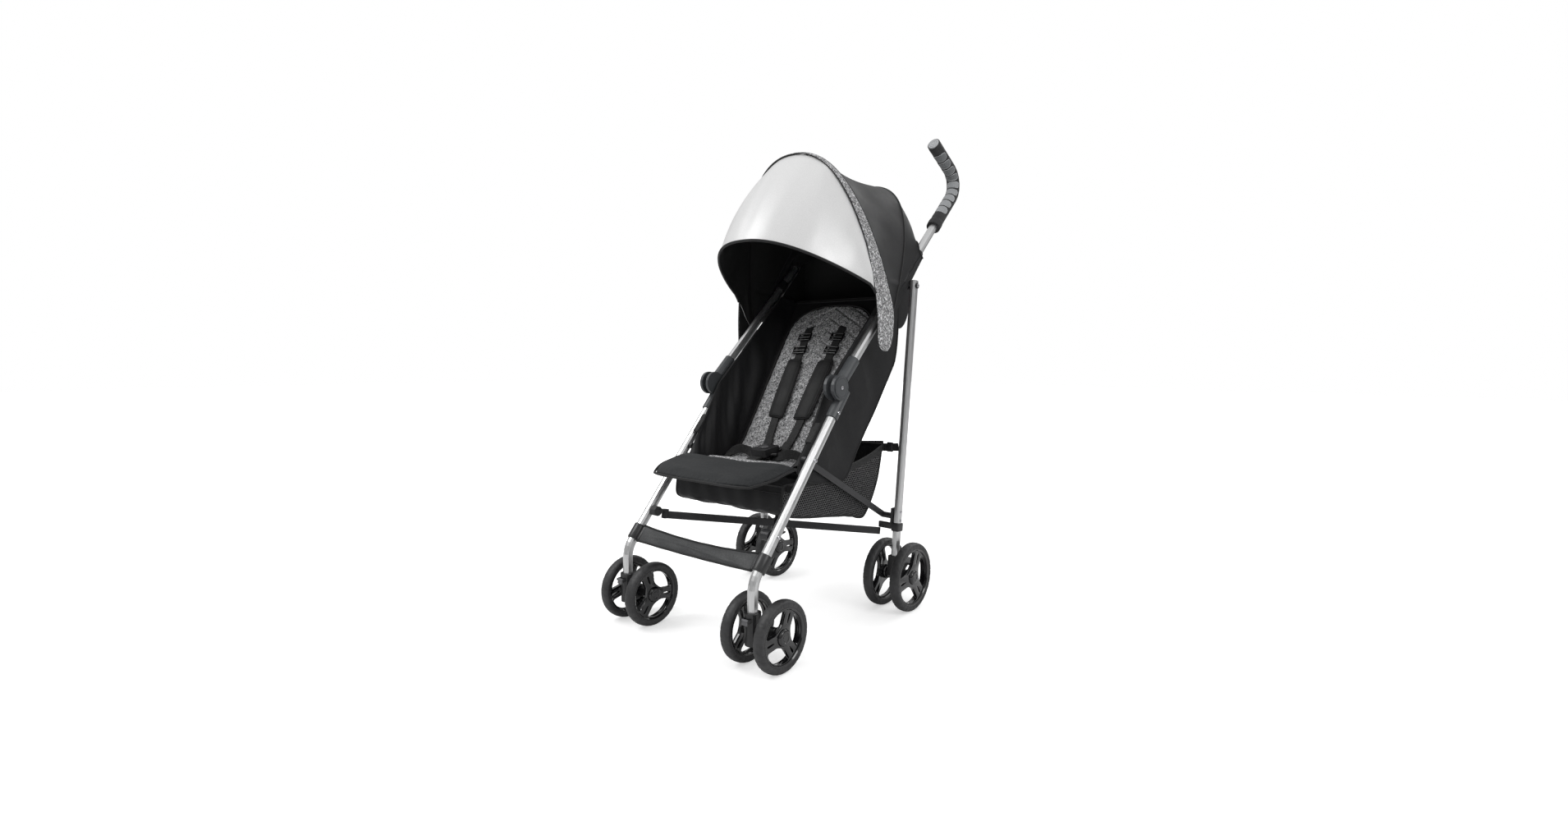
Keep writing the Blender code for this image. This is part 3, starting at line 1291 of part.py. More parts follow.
def visor_point(u, v, lift=0.0):
    """u in 0..1 from the front bow to the lip."""
    x, r = bow_curve(v)
    near = from_pivot(x, r, BOW_ANGLE) - on_plane(0, behind(BOW_ANGLE)) * (BOW_HALF_WIDTH + GAP)
    share = TIP * (2 * v - 1)
    lip_x = VISOR_X * math.sin(share * math.pi / 2)
    reach = VISOR_REACH * max(0.0, 1 - abs(lip_x / VISOR_X) ** 1.7) ** (1 / 1.1)
    lip = on_plane(lip_x, Vector((0.338, 0.748)) + along(VISOR_ANGLE) * reach)
    made = near.lerp(lip, u)
    bulge = 0.016 * math.sin(math.pi * u) * math.sin(math.pi * v)
    wrinkle = 0.0015 * math.sin(math.pi * u) * math.sin(30 * v)
    centre = on_plane(0, CANOPY_PIVOT)
    return made + (made - centre).normalized() * (bulge + wrinkle - lift)


visor = sheet(5, 18, visor_point, lambda u, v: visor_point(u, v, CANOPY_T))
piece(visor, "canopy_visor", "visor_silver", "visor")
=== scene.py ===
"""Lightweight folding stroller, open for use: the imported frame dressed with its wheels, foam, cloth and finishes."""

import json
import math

import bpy
from mathutils import Matrix, Vector

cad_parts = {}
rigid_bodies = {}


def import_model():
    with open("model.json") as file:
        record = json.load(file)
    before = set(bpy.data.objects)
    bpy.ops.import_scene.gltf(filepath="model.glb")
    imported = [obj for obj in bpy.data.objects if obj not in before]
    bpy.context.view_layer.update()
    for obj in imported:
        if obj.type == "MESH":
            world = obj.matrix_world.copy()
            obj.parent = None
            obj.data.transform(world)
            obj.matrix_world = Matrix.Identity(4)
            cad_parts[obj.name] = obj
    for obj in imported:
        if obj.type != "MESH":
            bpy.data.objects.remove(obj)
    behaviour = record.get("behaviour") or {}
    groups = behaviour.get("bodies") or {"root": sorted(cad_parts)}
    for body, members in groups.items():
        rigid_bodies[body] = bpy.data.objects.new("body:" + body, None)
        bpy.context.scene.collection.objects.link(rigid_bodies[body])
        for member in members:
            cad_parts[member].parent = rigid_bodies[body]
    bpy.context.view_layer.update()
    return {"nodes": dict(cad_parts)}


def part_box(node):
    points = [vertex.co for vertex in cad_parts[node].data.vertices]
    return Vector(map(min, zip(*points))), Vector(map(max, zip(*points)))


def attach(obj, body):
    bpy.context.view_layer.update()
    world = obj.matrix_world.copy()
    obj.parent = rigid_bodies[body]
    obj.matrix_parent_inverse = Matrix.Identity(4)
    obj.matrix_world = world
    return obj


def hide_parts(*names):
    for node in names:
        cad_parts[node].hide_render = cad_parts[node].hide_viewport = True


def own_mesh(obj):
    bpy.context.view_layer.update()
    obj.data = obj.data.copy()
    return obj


for left_over in list(bpy.data.objects):
    bpy.data.objects.remove(left_over)
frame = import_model()
nodes = frame["nodes"]

# Studio and camera.
# The stroller stands on a white sweep under broad soft light, seen from its front right
# corner at about the height of the seat. The floor keeps the soft shadow of the wheels.
MIDDLE = 0.3402
TURN = 0.698387
DOWN = 0.072976
ROLL = 0.0065386


def on_side(x, yz):
    """A point given across, and by how far it lies behind the front hubs and above the floor."""
    return Vector((x, yz[0] - MIDDLE, yz[1]))


bpy.ops.object.camera_add(location=on_side(1.06816, (-0.99470, 0.59132)))
camera = bpy.context.object
look = Matrix.Rotation(TURN, 4, "Z") @ Matrix.Rotation(math.pi / 2 - DOWN, 4, "X")
camera.matrix_world = Matrix.Translation(camera.location) @ look @ Matrix.Rotation(ROLL, 4, "Z")
camera.data.sensor_width = 36.0
camera.data.lens = 16.327
camera.data.clip_start = 0.05
bpy.context.scene.camera = camera
bpy.context.scene.view_settings.view_transform = "Standard"


def fed(node, *inputs):
    """Feeds a node from (input, source or value) pairs."""
    for socket, source in inputs:
        if isinstance(source, bpy.types.NodeSocket):
            node.id_data.links.new(source, node.inputs[socket])
        else:
            node.inputs[socket].default_value = source
    return node


def linked(owner, name, *inputs, **settings):
    """A new node in a material, a world or a group, with its settings and what feeds it."""
    tree = owner.node_tree if hasattr(owner, "node_tree") else owner
    node = tree.nodes.new(name)
    for key, value in settings.items():
        setattr(node, key, value)
    return fed(node, *inputs)


def maths(owner, operation, *values, **settings):
    return linked(owner, "ShaderNodeMath", *enumerate(values), operation=operation, **settings).outputs[0]


def ranged(owner, value, old, new=(0.0, 1.0)):
    """A value carried from one (low, high) range to another."""
    return linked(owner, "ShaderNodeMapRange", ("Value", value), ("From Min", old[0]), ("From Max", old[1]),
                  ("To Min", new[0]), ("To Max", new[1])).outputs[0]


def emptied(owner):
    """A material or a world with a node tree that holds nothing yet."""
    owner.use_nodes = True
    owner.node_tree.nodes.clear()
    return owner


world = emptied(bpy.context.scene.world or bpy.data.worlds.new("studio"))
bpy.context.scene.world = world
path = linked(world, "ShaderNodeLightPath")
facing = linked(world, "ShaderNodeTexCoord")
height = linked(world, "ShaderNodeSeparateXYZ", ("Vector", facing.outputs["Generated"]))
dome = ranged(world, height.outputs[2], (0.05, 0.75), (0.20, 0.85))
level = maths(world, "MAXIMUM", dome, path.outputs["Is Camera Ray"])
sky = linked(world, "ShaderNodeBackground", ("Color", (1, 1, 1, 1)), ("Strength", level))
linked(world, "ShaderNodeOutputWorld", ("Surface", sky.outputs[0]))

bpy.ops.mesh.primitive_plane_add(size=30, location=(0, 0, 0))
floor = bpy.context.object
floor.name = "studio_floor"
floor_paint = emptied(bpy.data.materials.new("studio_floor"))
path = linked(floor_paint, "ShaderNodeLightPath")
where = linked(floor_paint, "ShaderNodeTexCoord")
away = linked(floor_paint, "ShaderNodeVectorMath", (0, where.outputs["Object"]), operation="LENGTH")
rise = ranged(floor_paint, away.outputs["Value"], (0.7, 3.5), (0.50, 1.0))
lift = maths(floor_paint, "MULTIPLY", path.outputs["Is Camera Ray"], rise)
matt = linked(floor_paint, "ShaderNodeBsdfDiffuse", ("Color", (0.80, 0.80, 0.80, 1)))
glow = linked(floor_paint, "ShaderNodeEmission", ("Color", (1, 1, 1, 1)), ("Strength", lift))
both = linked(floor_paint, "ShaderNodeAddShader", (0, matt.outputs[0]), (1, glow.outputs[0]))
linked(floor_paint, "ShaderNodeOutputMaterial", ("Surface", both.outputs[0]))
floor.data.materials.append(floor_paint)

for name, place, aim, size, power in (
    ("key_light", (-1.4, -1.9, 2.7), (0, 0, 0.5), 1.4, 38),
    ("side_light", (2.7, -0.3, 1.9), (0.1, 0, 0.5), 1.2, 20),
    ("back_light", (0.4, 2.6, 2.2), (0, 0.1, 0.6), 1.4, 16),
):
    bpy.ops.object.light_add(type="AREA", location=place)
    lamp = bpy.context.object
    lamp.name = name
    lamp.data.size = size
    lamp.data.energy = power
    lamp.rotation_euler = (Vector(aim) - Vector(place)).to_track_quat("-Z", "Y").to_euler()

# Finishes shared by the hard pieces.
# Moulded plastic and foam have a fine skin texture, a little dust and worn, smoother spots;
# drawn aluminium has fine lines along the tube.


def new_group(name, inputs, outputs):
    """A shader node group with named inputs (name, socket type, value) and outputs (name, socket type)."""
    group = bpy.data.node_groups.new(name, "ShaderNodeTree")
    for label, kind, value in inputs:
        made = group.interface.new_socket(name=label, in_out="INPUT", socket_type=kind)
        if value is not None:
            made.default_value = value
    for label, kind in outputs:
        group.interface.new_socket(name=label, in_out="OUTPUT", socket_type=kind)
    return group, group.nodes.new("NodeGroupInput"), group.nodes.new("NodeGroupOutput")


grain_group, given, told = new_group(
    "skin_grain",
    [("Vector", "NodeSocketVector", None), ("Colour", "NodeSocketColor", (0.02, 0.02, 0.02, 1)),
     ("Roughness", "NodeSocketFloat", 0.5), ("Scale", "NodeSocketFloat", 600.0), ("Dust", "NodeSocketFloat", 0.2)],
    [("Colour", "NodeSocketColor"), ("Roughness", "NodeSocketFloat"), ("Height", "NodeSocketFloat")],
)
pits = linked(grain_group, "ShaderNodeTexNoise", ("Vector", given.outputs["Vector"]),
              ("Scale", given.outputs["Scale"]), ("Detail", 3.0), ("Roughness", 0.6))
cloud = linked(grain_group, "ShaderNodeTexNoise", ("Vector", given.outputs["Vector"]),
               ("Scale", 22.0), ("Detail", 4.0), ("Roughness", 0.55))
patch = ranged(grain_group, cloud.outputs["Fac"], (0.35, 0.75))
veil = maths(grain_group, "MULTIPLY", patch, given.outputs["Dust"])
tint = linked(grain_group, "ShaderNodeMix", ("Factor", veil), ("A", given.outputs["Colour"]),
              ("B", (0.30, 0.30, 0.31, 1)), data_type="RGBA")
swing = maths(grain_group, "MULTIPLY_ADD", cloud.outputs["Fac"], 0.22, -0.11)
rough = maths(grain_group, "ADD", given.outputs["Roughness"], swing, use_clamp=True)
fed(told, ("Colour", tint.outputs["Result"]), ("Roughness", rough), ("Height", pits.outputs["Fac"]))


def paint_of(name):
    """A node material with its shader, its output and Object coordinates."""
    made = emptied(bpy.data.materials.new(name))
    where = linked(made, "ShaderNodeTexCoord")
    shader = linked(made, "ShaderNodeBsdfPrincipled")
    linked(made, "ShaderNodeOutputMaterial", ("Surface", shader.outputs[0]))
    return made, where.outputs["Object"], shader


def moulded(name, colour, roughness, scale, depth, dust=0.05, coat=0.0, metal=0.0):
    """Plastic, rubber, foam or painted metal with a skin grain."""
    made, where, shader = paint_of(name)
    grain = linked(made, "ShaderNodeGroup", ("Vector", where), ("Colour", (*colour, 1)), ("Roughness", roughness),
                   ("Scale", scale), ("Dust", dust), node_tree=grain_group)
    bump = linked(made, "ShaderNodeBump", ("Height", grain.outputs["Height"]), ("Strength", 0.6), ("Distance", depth))
    fed(shader, ("Base Color", grain.outputs["Colour"]), ("Roughness", grain.outputs["Roughness"]),
        ("Normal", bump.outputs[0]), ("Coat Weight", coat), ("Coat Roughness", 0.08), ("Metallic", metal))
    made.diffuse_color = (*colour, 1)
    return made


hinge_grey = moulded("hinge_grey", (0.050, 0.054, 0.058), 0.40, 900, 0.00012, dust=0.06)
satin_black = moulded("satin_black", (0.012, 0.012, 0.013), 0.34, 800, 0.00008)
gloss_black = moulded("gloss_black", (0.006, 0.006, 0.007), 0.14, 300, 0.00002, dust=0.0, coat=0.5)
brace_paint = moulded("brace_paint", (0.016, 0.016, 0.018), 0.42, 1200, 0.00006)
lever_grey = moulded("lever_grey", (0.10, 0.10, 0.105), 0.48, 900, 0.0001)
screw_steel = moulded("screw_steel", (0.55, 0.55, 0.57), 0.28, 500, 0.00003, dust=0.02, metal=1.0)

aluminium, where, shader = paint_of("drawn_aluminium")
lay = linked(aluminium, "ShaderNodeMapping", ("Vector", where), ("Scale", (900, 40, 40)))
lines = linked(aluminium, "ShaderNodeTexNoise", ("Vector", lay.outputs[0]), ("Scale", 1.0), ("Detail", 3.0))
tone = linked(aluminium, "ShaderNodeValToRGB", ("Fac", lines.outputs["Fac"]))
tone.color_ramp.elements[0].color = (0.56, 0.565, 0.57, 1)
tone.color_ramp.elements[1].color = (0.70, 0.70, 0.70, 1)
sheen = ranged(aluminium, lines.outputs["Fac"], (0.0, 1.0), (0.26, 0.38))
bump = linked(aluminium, "ShaderNodeBump", ("Height", lines.outputs["Fac"]), ("Strength", 0.25),
              ("Distance", 0.0001))
fed(shader, ("Base Color", tone.outputs[0]), ("Roughness", sheen), ("Normal", bump.outputs[0]), ("Metallic", 0.92))

# Rigid pieces that keep the frame's own shape.
# The tubes are drawn aluminium, bent cold. The hinges, collars, brackets and forks are moulded
# plastic, and the braces are steel bar with a black coat.


def finished(mesh, *materials):
    """Takes a mesh's materials off it and gives it these."""
    mesh.materials.clear()
    for material in materials:
        mesh.materials.append(material)


for finish, names in (
    (aluminium, ("front_leg", "push_tube", "rear_leg")),
    (hinge_grey, ("elbow_lower", "elbow_upper")),
    (satin_black, ("caster_collar", "caster_fork", "push_bracket", "rear_foot", "rear_bracket")),
    (brace_paint, ("side_brace", "under_brace", "brace_knuckle")),
    (lever_grey, ("brake_lever", "swivel_lock")),
):
    for name in names:
        finished(nodes[name + "_right"].data, finish)
        finished(nodes[name + "_left"].data, finish)


def unselected():
    if bpy.context.object and bpy.context.object.mode != "OBJECT":
        bpy.ops.object.mode_set(mode="OBJECT")
    bpy.ops.object.select_all(action="DESELECT")


def only(piece):
    unselected()
    piece.select_set(True)
    bpy.context.view_layer.objects.active = piece


def applied(piece):
    """Applies a piece's modifiers, and bakes its place into its mesh."""
    only(piece)
    for modifier in list(piece.modifiers):
        bpy.ops.object.modifier_apply(modifier=modifier.name)
    bpy.ops.object.transform_apply(location=True, rotation=True, scale=True)
    return piece


def smoothed(piece, angle=35):
    only(piece)
    bpy.ops.object.shade_smooth_by_angle(angle=math.radians(angle))
    return piece


def named(piece, name, body, slot, *stands_for):
    """Names a finished piece and hangs it on its body."""
    piece.name = name
    piece.data.name = name
    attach(piece, body)
    if stands_for:
        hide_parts(*stands_for)
    return piece


def hung(piece, name, material, body, slot, *stands_for):
    """Gives a piece its one finish, its name and its body."""
    finished(piece.data, material)
    return named(piece, name, body, slot, *stands_for)


def other_side(piece):
    """Mirrors a piece, and so turns its faces inside out."""
    piece.data.transform(Matrix.Scale(-1, 4, (1, 0, 0)))
    return piece


def copied(piece, mirror=False):
    """A copy with its own mesh, mirrored to the left side where that is asked."""
    twin = piece.copy()
    twin.data = piece.data.copy()
    bpy.context.scene.collection.objects.link(twin)
    twin.parent = None
    if mirror:
        other_side(twin).data.flip_normals()
    return twin


def on_both(piece, name, material, body, slot, *stands_for):
    """Hangs a right-hand piece and its mirror image."""
    left = copied(piece, mirror=True)
    hung(piece, name + "_right", material, body + "_right", slot, *[node + "_right" for node in stands_for])
    hung(left, name + "_left", material, body + "_left", slot, *[node + "_left" for node in stands_for])


def joined(piece, *others):
    """One piece of several; it keeps the first one's name."""
    only(piece)
    for other in others:
        other.select_set(True)
    bpy.ops.object.join()
    return bpy.context.object


def bevelled(piece, width, segments=2, angle=40):
    edge = piece.modifiers.new("edge", "BEVEL")
    edge.width = width
    edge.segments = segments
    edge.limit_method = "ANGLE"
    edge.angle_limit = math.radians(angle)
    return piece


# Screws, rivets and the hub disc.
# Pan-head screws and rivets in zinc-plated steel hold the braces, the rear legs and the elbow;
# the elbow's round cover is a separate disc with a groove round it.
ELBOW = (0.225, 0.531)


def round_block(place, radius, depth, sides):
    """A short cylinder that lies across the stroller."""
    unselected()
    bpy.ops.mesh.primitive_cylinder_add(vertices=sides, radius=radius, depth=depth, location=place,
                                        rotation=(0, math.pi / 2, 0))
    return applied(bpy.context.object)


def screw_head(place, radius, depth):
    """A round head on the outer side, its top domed, with a round recess."""
    head = round_block(place, radius, depth, 24)
    bpy.ops.object.mode_set(mode="EDIT")
    bpy.ops.mesh.select_mode(type="FACE")
    bpy.ops.mesh.select_all(action="DESELECT")
    bpy.ops.object.mode_set(mode="OBJECT")
    for face in head.data.polygons:
        face.select = face.normal.x > 0.9
    bpy.ops.object.mode_set(mode="EDIT")
    bpy.ops.mesh.inset(thickness=radius * 0.22, depth=depth * 0.22)
    bpy.ops.mesh.inset(thickness=radius * 0.34, depth=depth * 0.05)
    bpy.ops.mesh.inset(thickness=radius * 0.02, depth=-depth * 0.5)
    bpy.ops.object.mode_set(mode="OBJECT")
    return smoothed(head)


for name, at, x, radius, body in (
    ("brace_screw", (0.1426, 0.385), 0.1975, 0.0042, "front"),
    ("knuckle_screw", (0.0301, 0.248), 0.1975, 0.0042, "front"),
    ("brace_rivet", (0.4507, 0.232), 0.2160, 0.0030, "rear"),
    ("bracket_rivet", (0.4497, 0.212), 0.2160, 0.0030, "rear"),
):
    on_both(screw_head(on_side(x + 0.0008, at), radius, 0.0024), name, screw_steel, body, "aluminium_tube")
for name, node, radius, at, body in (
    ("sleeve_screw", "elbow_lower", 0.0036, (0.2180, 0.4780), "front"),
    ("rear_pivot_screw", "push_bracket", 0.0046, (0.5051, 0.7650), "push"),
):
    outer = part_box(node + "_right")[1].x
    on_both(screw_head(on_side(outer + 0.0002, at), radius, 0.0026), name, screw_steel, body, "aluminium_tube")

hub_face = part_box("elbow_lower_right")[1].x
disc = round_block(on_side(hub_face + 0.0006, ELBOW), 0.0225, 0.0030, 64)
for face in disc.data.polygons:
    face.select = face.normal.x > 0.9
bpy.ops.object.mode_set(mode="EDIT")
bpy.ops.mesh.select_mode(type="FACE")
bpy.ops.mesh.inset(thickness=0.0022, depth=0.0)
bpy.ops.mesh.inset(thickness=0.0006, depth=-0.0009)
bpy.ops.mesh.inset(thickness=0.0006, depth=0.0009)
bpy.ops.mesh.inset(thickness=0.0130, depth=0.0004)
bpy.ops.object.mode_set(mode="OBJECT")
bevelled(disc, 0.0004, 1, 60)
smoothed(applied(disc), 30)
on_both(disc, "hub_disc", hinge_grey, "front", "hinge_plastic")
on_both(screw_head(on_side(hub_face + 0.0026, ELBOW), 0.0040, 0.0022), "hub_screw", screw_steel, "front",
        "aluminium_tube")

# Cradles.
# A moulded block on each rear leg takes the end of a crossing arm: a flat cradle, and a collar that
# is clamped round the leg and leans with it.
REAR_LEAN = -0.0994


def block(size, x, at, ease, lean=0.0):
    """A block (across, deep, high) turned by lean about x, with edges rounded by ease."""
    unselected()
    bpy.ops.mesh.primitive_cube_add(size=1)
    made = bpy.context.object
    made.data.transform(Matrix.Translation(on_side(x, at)) @ Matrix.Rotation(lean, 4, "X")
                        @ Matrix.Diagonal((*size, 1)))
    return applied(bevelled(made, ease, 3))


cradle = block((0.0440, 0.0075, 0.0150), 0.1800, (0.4490, 0.1960), 0.0020)
collar = block((0.0195, 0.0245, 0.0200), 0.2085, (0.4480, 0.1960), 0.0030, REAR_LEAN)
on_both(smoothed(joined(cradle, collar), 45), "arm_cradle", satin_black, "rear", "black_plastic")

# Wheels.
# Each caster and each rear foot carries a pair: a soft rubber tyre with slanted cuts across its
# shoulders, on a glossy moulded rim of three slotted spokes round a capped hub.
tyre_rubber = moulded("tyre_rubber", (0.020, 0.020, 0.021), 0.52, 420, 0.00022, dust=0.10)
TUBE_X = 0.187
FULL_TURN = 2 * math.pi


def edited(piece):
    """Opens a piece alone in edit mode, all of it selected."""
    only(piece)
    bpy.ops.object.mode_set(mode="EDIT")
    bpy.ops.mesh.select_all(action="SELECT")


def turned_out(piece, merge=0.0):
    """Merges points nearer than merge, and turns every face outwards."""
    edited(piece)
    if merge:
        bpy.ops.mesh.remove_doubles(threshold=merge)
    bpy.ops.mesh.normals_make_consistent(inside=False)
    bpy.ops.object.mode_set(mode="OBJECT")
    return piece


def from_points(points, edges, faces):
    """A mesh from its points, opened in edit mode, all of it selected."""
    mesh = bpy.data.meshes.new("outline")
    mesh.from_pydata(points, edges, faces)
    made = bpy.data.objects.new("outline", mesh)
    bpy.context.scene.collection.objects.link(made)
    edited(made)
    return made


def spun(profile, steps):
    """A closed ring from a profile of (x, radius) points turned about the axle."""
    count = len(profile)
    made = from_points([(x, 0.0, r) for x, r in profile], [(k, (k + 1) % count) for k in range(count)], [])
    bpy.ops.mesh.spin(steps=steps, angle=FULL_TURN, center=(0, 0, 0), axis=(1, 0, 0))
    return turned_out(made, 0.00002)


def tyre(radius, cuts):
    """A rounded tread, with slanted cuts that alternate over its two shoulders."""
    half = [(0.0000, 0.0), (0.0042, 0.0003), (0.0078, 0.0013), (0.0100, 0.0028), (0.0114, 0.0048),
            (0.0119, 0.0072), (0.0117, 0.0098), (0.0108, 0.0122), (0.0098, 0.0138)]
    right = [(x, radius - drop) for x, drop in half]
    left = [(-x, r) for x, r in reversed(right[1:])]
    made = spun(right + left, cuts * 9)
    for vertex in made.data.vertices:
        x, y, z = vertex.co
        r = math.hypot(y, z)
        if radius - 0.0115 < r and abs(x) > 0.0012:
            place = (cuts * math.atan2(y, z) / FULL_TURN + abs(x) * 62 + (0 if x > 0 else 0.5)) % 1
            deep = 0.0016 * max(0.0, 1 - abs(place - 0.5) / 0.12)
            vertex.co.y -= y / r * deep
            vertex.co.z -= z / r * deep
            vertex.co.x -= math.copysign(deep * 0.6, x) if abs(x) > 0.010 else 0
    return smoothed(made, 42)


def loop_face(points, low, high):
    """A solid plate across x from a closed loop of (y, z) points."""
    made = from_points([(low, y, z) for y, z in points], [], [list(range(len(points)))])
    bpy.ops.mesh.extrude_region_move(TRANSFORM_OT_translate={"value": (high - low, 0, 0)})
    return turned_out(made)


def eased(points, rounds=3):
    """Corner-cut copy of a closed loop."""
    for _ in range(rounds):
        cut = []
        for k, (a, b) in enumerate(points):
            c, d = points[(k + 1) % len(points)]
            cut += [(0.75 * a + 0.25 * c, 0.75 * b + 0.25 * d), (0.25 * a + 0.75 * c, 0.25 * b + 0.75 * d)]
        points = cut
    return points


def carved(piece, *cutters):
    """Cuts the cutters' shapes out of a piece."""
    for cutter in cutters:
        cut = piece.modifiers.new("cut", "BOOLEAN")
        cut.operation = "DIFFERENCE"
        cut.solver = "EXACT"
        cut.object = cutter
    applied(piece)
    for cutter in cutters:
        bpy.data.objects.remove(cutter)
    return piece


def rim(radius):
    """Rim with its spokes on the +x side; the wheel turns about x."""
    outer = radius - 0.0136
    wall = spun([(0.0104, outer), (0.0104, outer - 0.0022), (0.0086, outer - 0.0042), (-0.0086, outer - 0.0042),
                 (-0.0104, outer - 0.0022), (-0.0104, outer)], 96)
    smoothed(wall, 30)
    reach = outer - 0.0030
    web = round_block((0.0028, 0, 0), reach, 0.0085, 96)
    flank = [(0.43, 0.50), (0.62, 0.66), (0.93, 0.79)]
    window = [(share, -span) for share, span in flank]
    window += [(0.955, -0.79 + 1.58 * k / 6) for k in range(1, 6)]
    window += reversed(flank)
    slot = ((0.50, -0.0012), (0.88, -0.0030), (0.88, 0.0030), (0.50, 0.0012))
    cutters = []
    for spoke in (math.radians(90), math.radians(210), math.radians(330)):
        middle = spoke + math.radians(60)
        gap = [(reach * share * math.cos(middle + turn), reach * share * math.sin(middle + turn))
               for share, turn in window]
        cutters.append(loop_face(eased(gap), -0.02, 0.03))
        groove = [(reach * share * math.cos(spoke) - across * math.sin(spoke),
                   reach * share * math.sin(spoke) + across * math.cos(spoke)) for share, across in slot]
        cutters.append(loop_face(eased(groove, 2), -0.02, 0.03))
    carved(web, *cutters)
    bevelled(web, 0.0013, 2, 50)
    smoothed(applied(web), 45)
    hub = spun([(0.0124, 0.0002), (0.0124, 0.0062), (0.0117, 0.0068), (0.0117, 0.0088), (0.0127, 0.0096),
                (0.0127, 0.0130), (0.0112, 0.0152), (0.0070, 0.0172), (-0.0100, 0.0160), (-0.0112, 0.0150),
                (-0.0112, 0.0002)], 48)
    smoothed(hub, 40)
    return joined(wall, web, hub)


for axle, radius, cuts, pair, x_axle, yz in (
    ("front", 0.070, 26, 0.042, TUBE_X, (0.0, 0.070)),
    ("rear", 0.0806, 30, 0.036, 0.2065, (0.4564, 0.0806)),
):
    first_rim = rim(radius)
    first_tyre = tyre(radius, cuts)
    for side, sign in (("right", 1), ("left", -1)):
        for place, way in (("inner", -1), ("outer", 1)):
            x = sign * (x_axle + way * pair)
            outward = sign * way > 0
            body = f"{axle}_wheel_{place}_{side}"
            made = copied(first_rim, mirror=not outward)
            made.data.transform(Matrix.Translation(on_side(x, yz)) @ Matrix.Rotation(0.7 * way + sign, 4, "X"))
            hung(made, f"{body}_rim", gloss_black, body, "rim_gloss", f"{axle}_rim_{place}_{side}")
            made = copied(first_tyre, mirror=not outward)
            made.data.transform(Matrix.Translation(on_side(x, yz)) @ Matrix.Rotation(0.3 * way, 4, "X"))
            hung(made, f"{body}_tyre", tyre_rubber, body, "tyre_rubber", f"{axle}_tyre_{place}_{side}")
    bpy.data.objects.remove(first_rim)
    bpy.data.objects.remove(first_tyre)

# Handle grips.
# Closed-cell foam is pushed over each bent tube end. Nine softer grey pads with pale rims are let
# into its front, the upper ones darker, and a ringed cap closes the end.
grip_foam = moulded("grip_foam", (0.017, 0.017, 0.018), 0.74, 1300, 0.00025)
pad_dark = moulded("grip_pad_dark", (0.135, 0.140, 0.145), 0.60, 700, 0.00015)
pad_light = moulded("grip_pad_light", (0.30, 0.31, 0.32), 0.58, 700, 0.00015)
pad_rim = moulded("grip_pad_rim", (0.42, 0.43, 0.44), 0.50, 700, 0.0001)
GRIP_R = 0.0163
GRIP_LINE = [(0.630, 0.9199), (0.7208, 1.0082), (0.7293, 1.0196), (0.7338, 1.0330), (0.7339, 1.0472),
             (0.7296, 1.0607), (0.7213, 1.0722), (0.7098, 1.0806), (0.6233, 1.1247)]


def runs_of(line):
    """How far each point of a line lies from its start, along it."""
    runs = [0.0]
    for a, b in zip(line, line[1:]):
        runs.append(runs[-1] + math.dist(a, b))
    return runs


grip_runs = runs_of(GRIP_LINE)
grip_length = grip_runs[-1]


def grip_spot(s):
    """(y, z) and direction at s metres along the grip from its lower end."""

    def stretch_at(run):
        return max(k for k in range(len(GRIP_LINE) - 1) if grip_runs[k] <= run)

    s = min(max(s, 0.0), grip_length)
    k = stretch_at(s)
    ahead = Vector((0, 0))
    for shift in (-0.014, -0.007, 0.0, 0.007, 0.014):
        near = stretch_at(min(max(s + shift, 0.0), grip_length - 1e-6))
        ahead += (Vector(GRIP_LINE[near + 1]) - Vector(GRIP_LINE[near])).normalized()
    share = (s - grip_runs[k]) / (grip_runs[k + 1] - grip_runs[k])
    return Vector(GRIP_LINE[k]).lerp(Vector(GRIP_LINE[k + 1]), share), ahead.normalized()


def grip_skin(s, turn, r):
    """A point on the grip, turn 0 towards the front and +90 degrees towards the outer side."""
    at, ahead = grip_spot(s)
    return on_side(TUBE_X + math.sin(turn) * r, at + Vector((-ahead.y, ahead.x)) * (math.cos(turn) * r))


def mapped_grid(columns, rows, place):
    """A grid whose points go where place(u, v) puts them; u runs along the rows, v across."""
    unselected()
    bpy.ops.mesh.primitive_grid_add(x_subdivisions=columns, y_subdivisions=rows, size=2, calc_uvs=True)
    made = bpy.context.object
    for vertex in made.data.vertices:
        vertex.co = place((vertex.co.y + 1) / 2, (vertex.co.x + 1) / 2)
    return made


def tube_skin(rows, columns, place):
    """A closed skin round a line: place(u, turn), its ends drawn shut by place itself."""
    return turned_out(mapped_grid(columns, rows, lambda u, v: place(u, FULL_TURN * v)), 0.00001)


def foam(u, turn):
    """The foam sleeve: rounded ends, a cuff at the lower one and soft ribs in front."""
    s = u * grip_length
    close = min(s, grip_length - s)
    if u in (0.0, 1.0):
        return grip_skin(s, turn, 0.0)
    r = GRIP_R if close > 0.003 else GRIP_R - 0.003 + math.sqrt(max(0.0, 0.003**2 - (0.003 - close) ** 2))
    cuff = 0.0012 if s < 0.022 else 0.0
    rib = 0.0004 * math.cos(s * FULL_TURN / 0.0256) * max(0.0, math.cos(turn))
    return grip_skin(s, turn, r + cuff - rib)


on_both(smoothed(tube_skin(150, 40, foam), 60), "grip_foam", grip_foam, "push", "grip_foam", "handle_grip")


def walled(piece, thickness, offset=0, lined=0):
    """Gives a skin its thickness, half on each side or, at offset -1, all on the inner one."""
    wall = piece.modifiers.new("wall", "SOLIDIFY")
    wall.thickness = thickness
    wall.offset = offset
    wall.material_offset = lined
    return applied(piece)


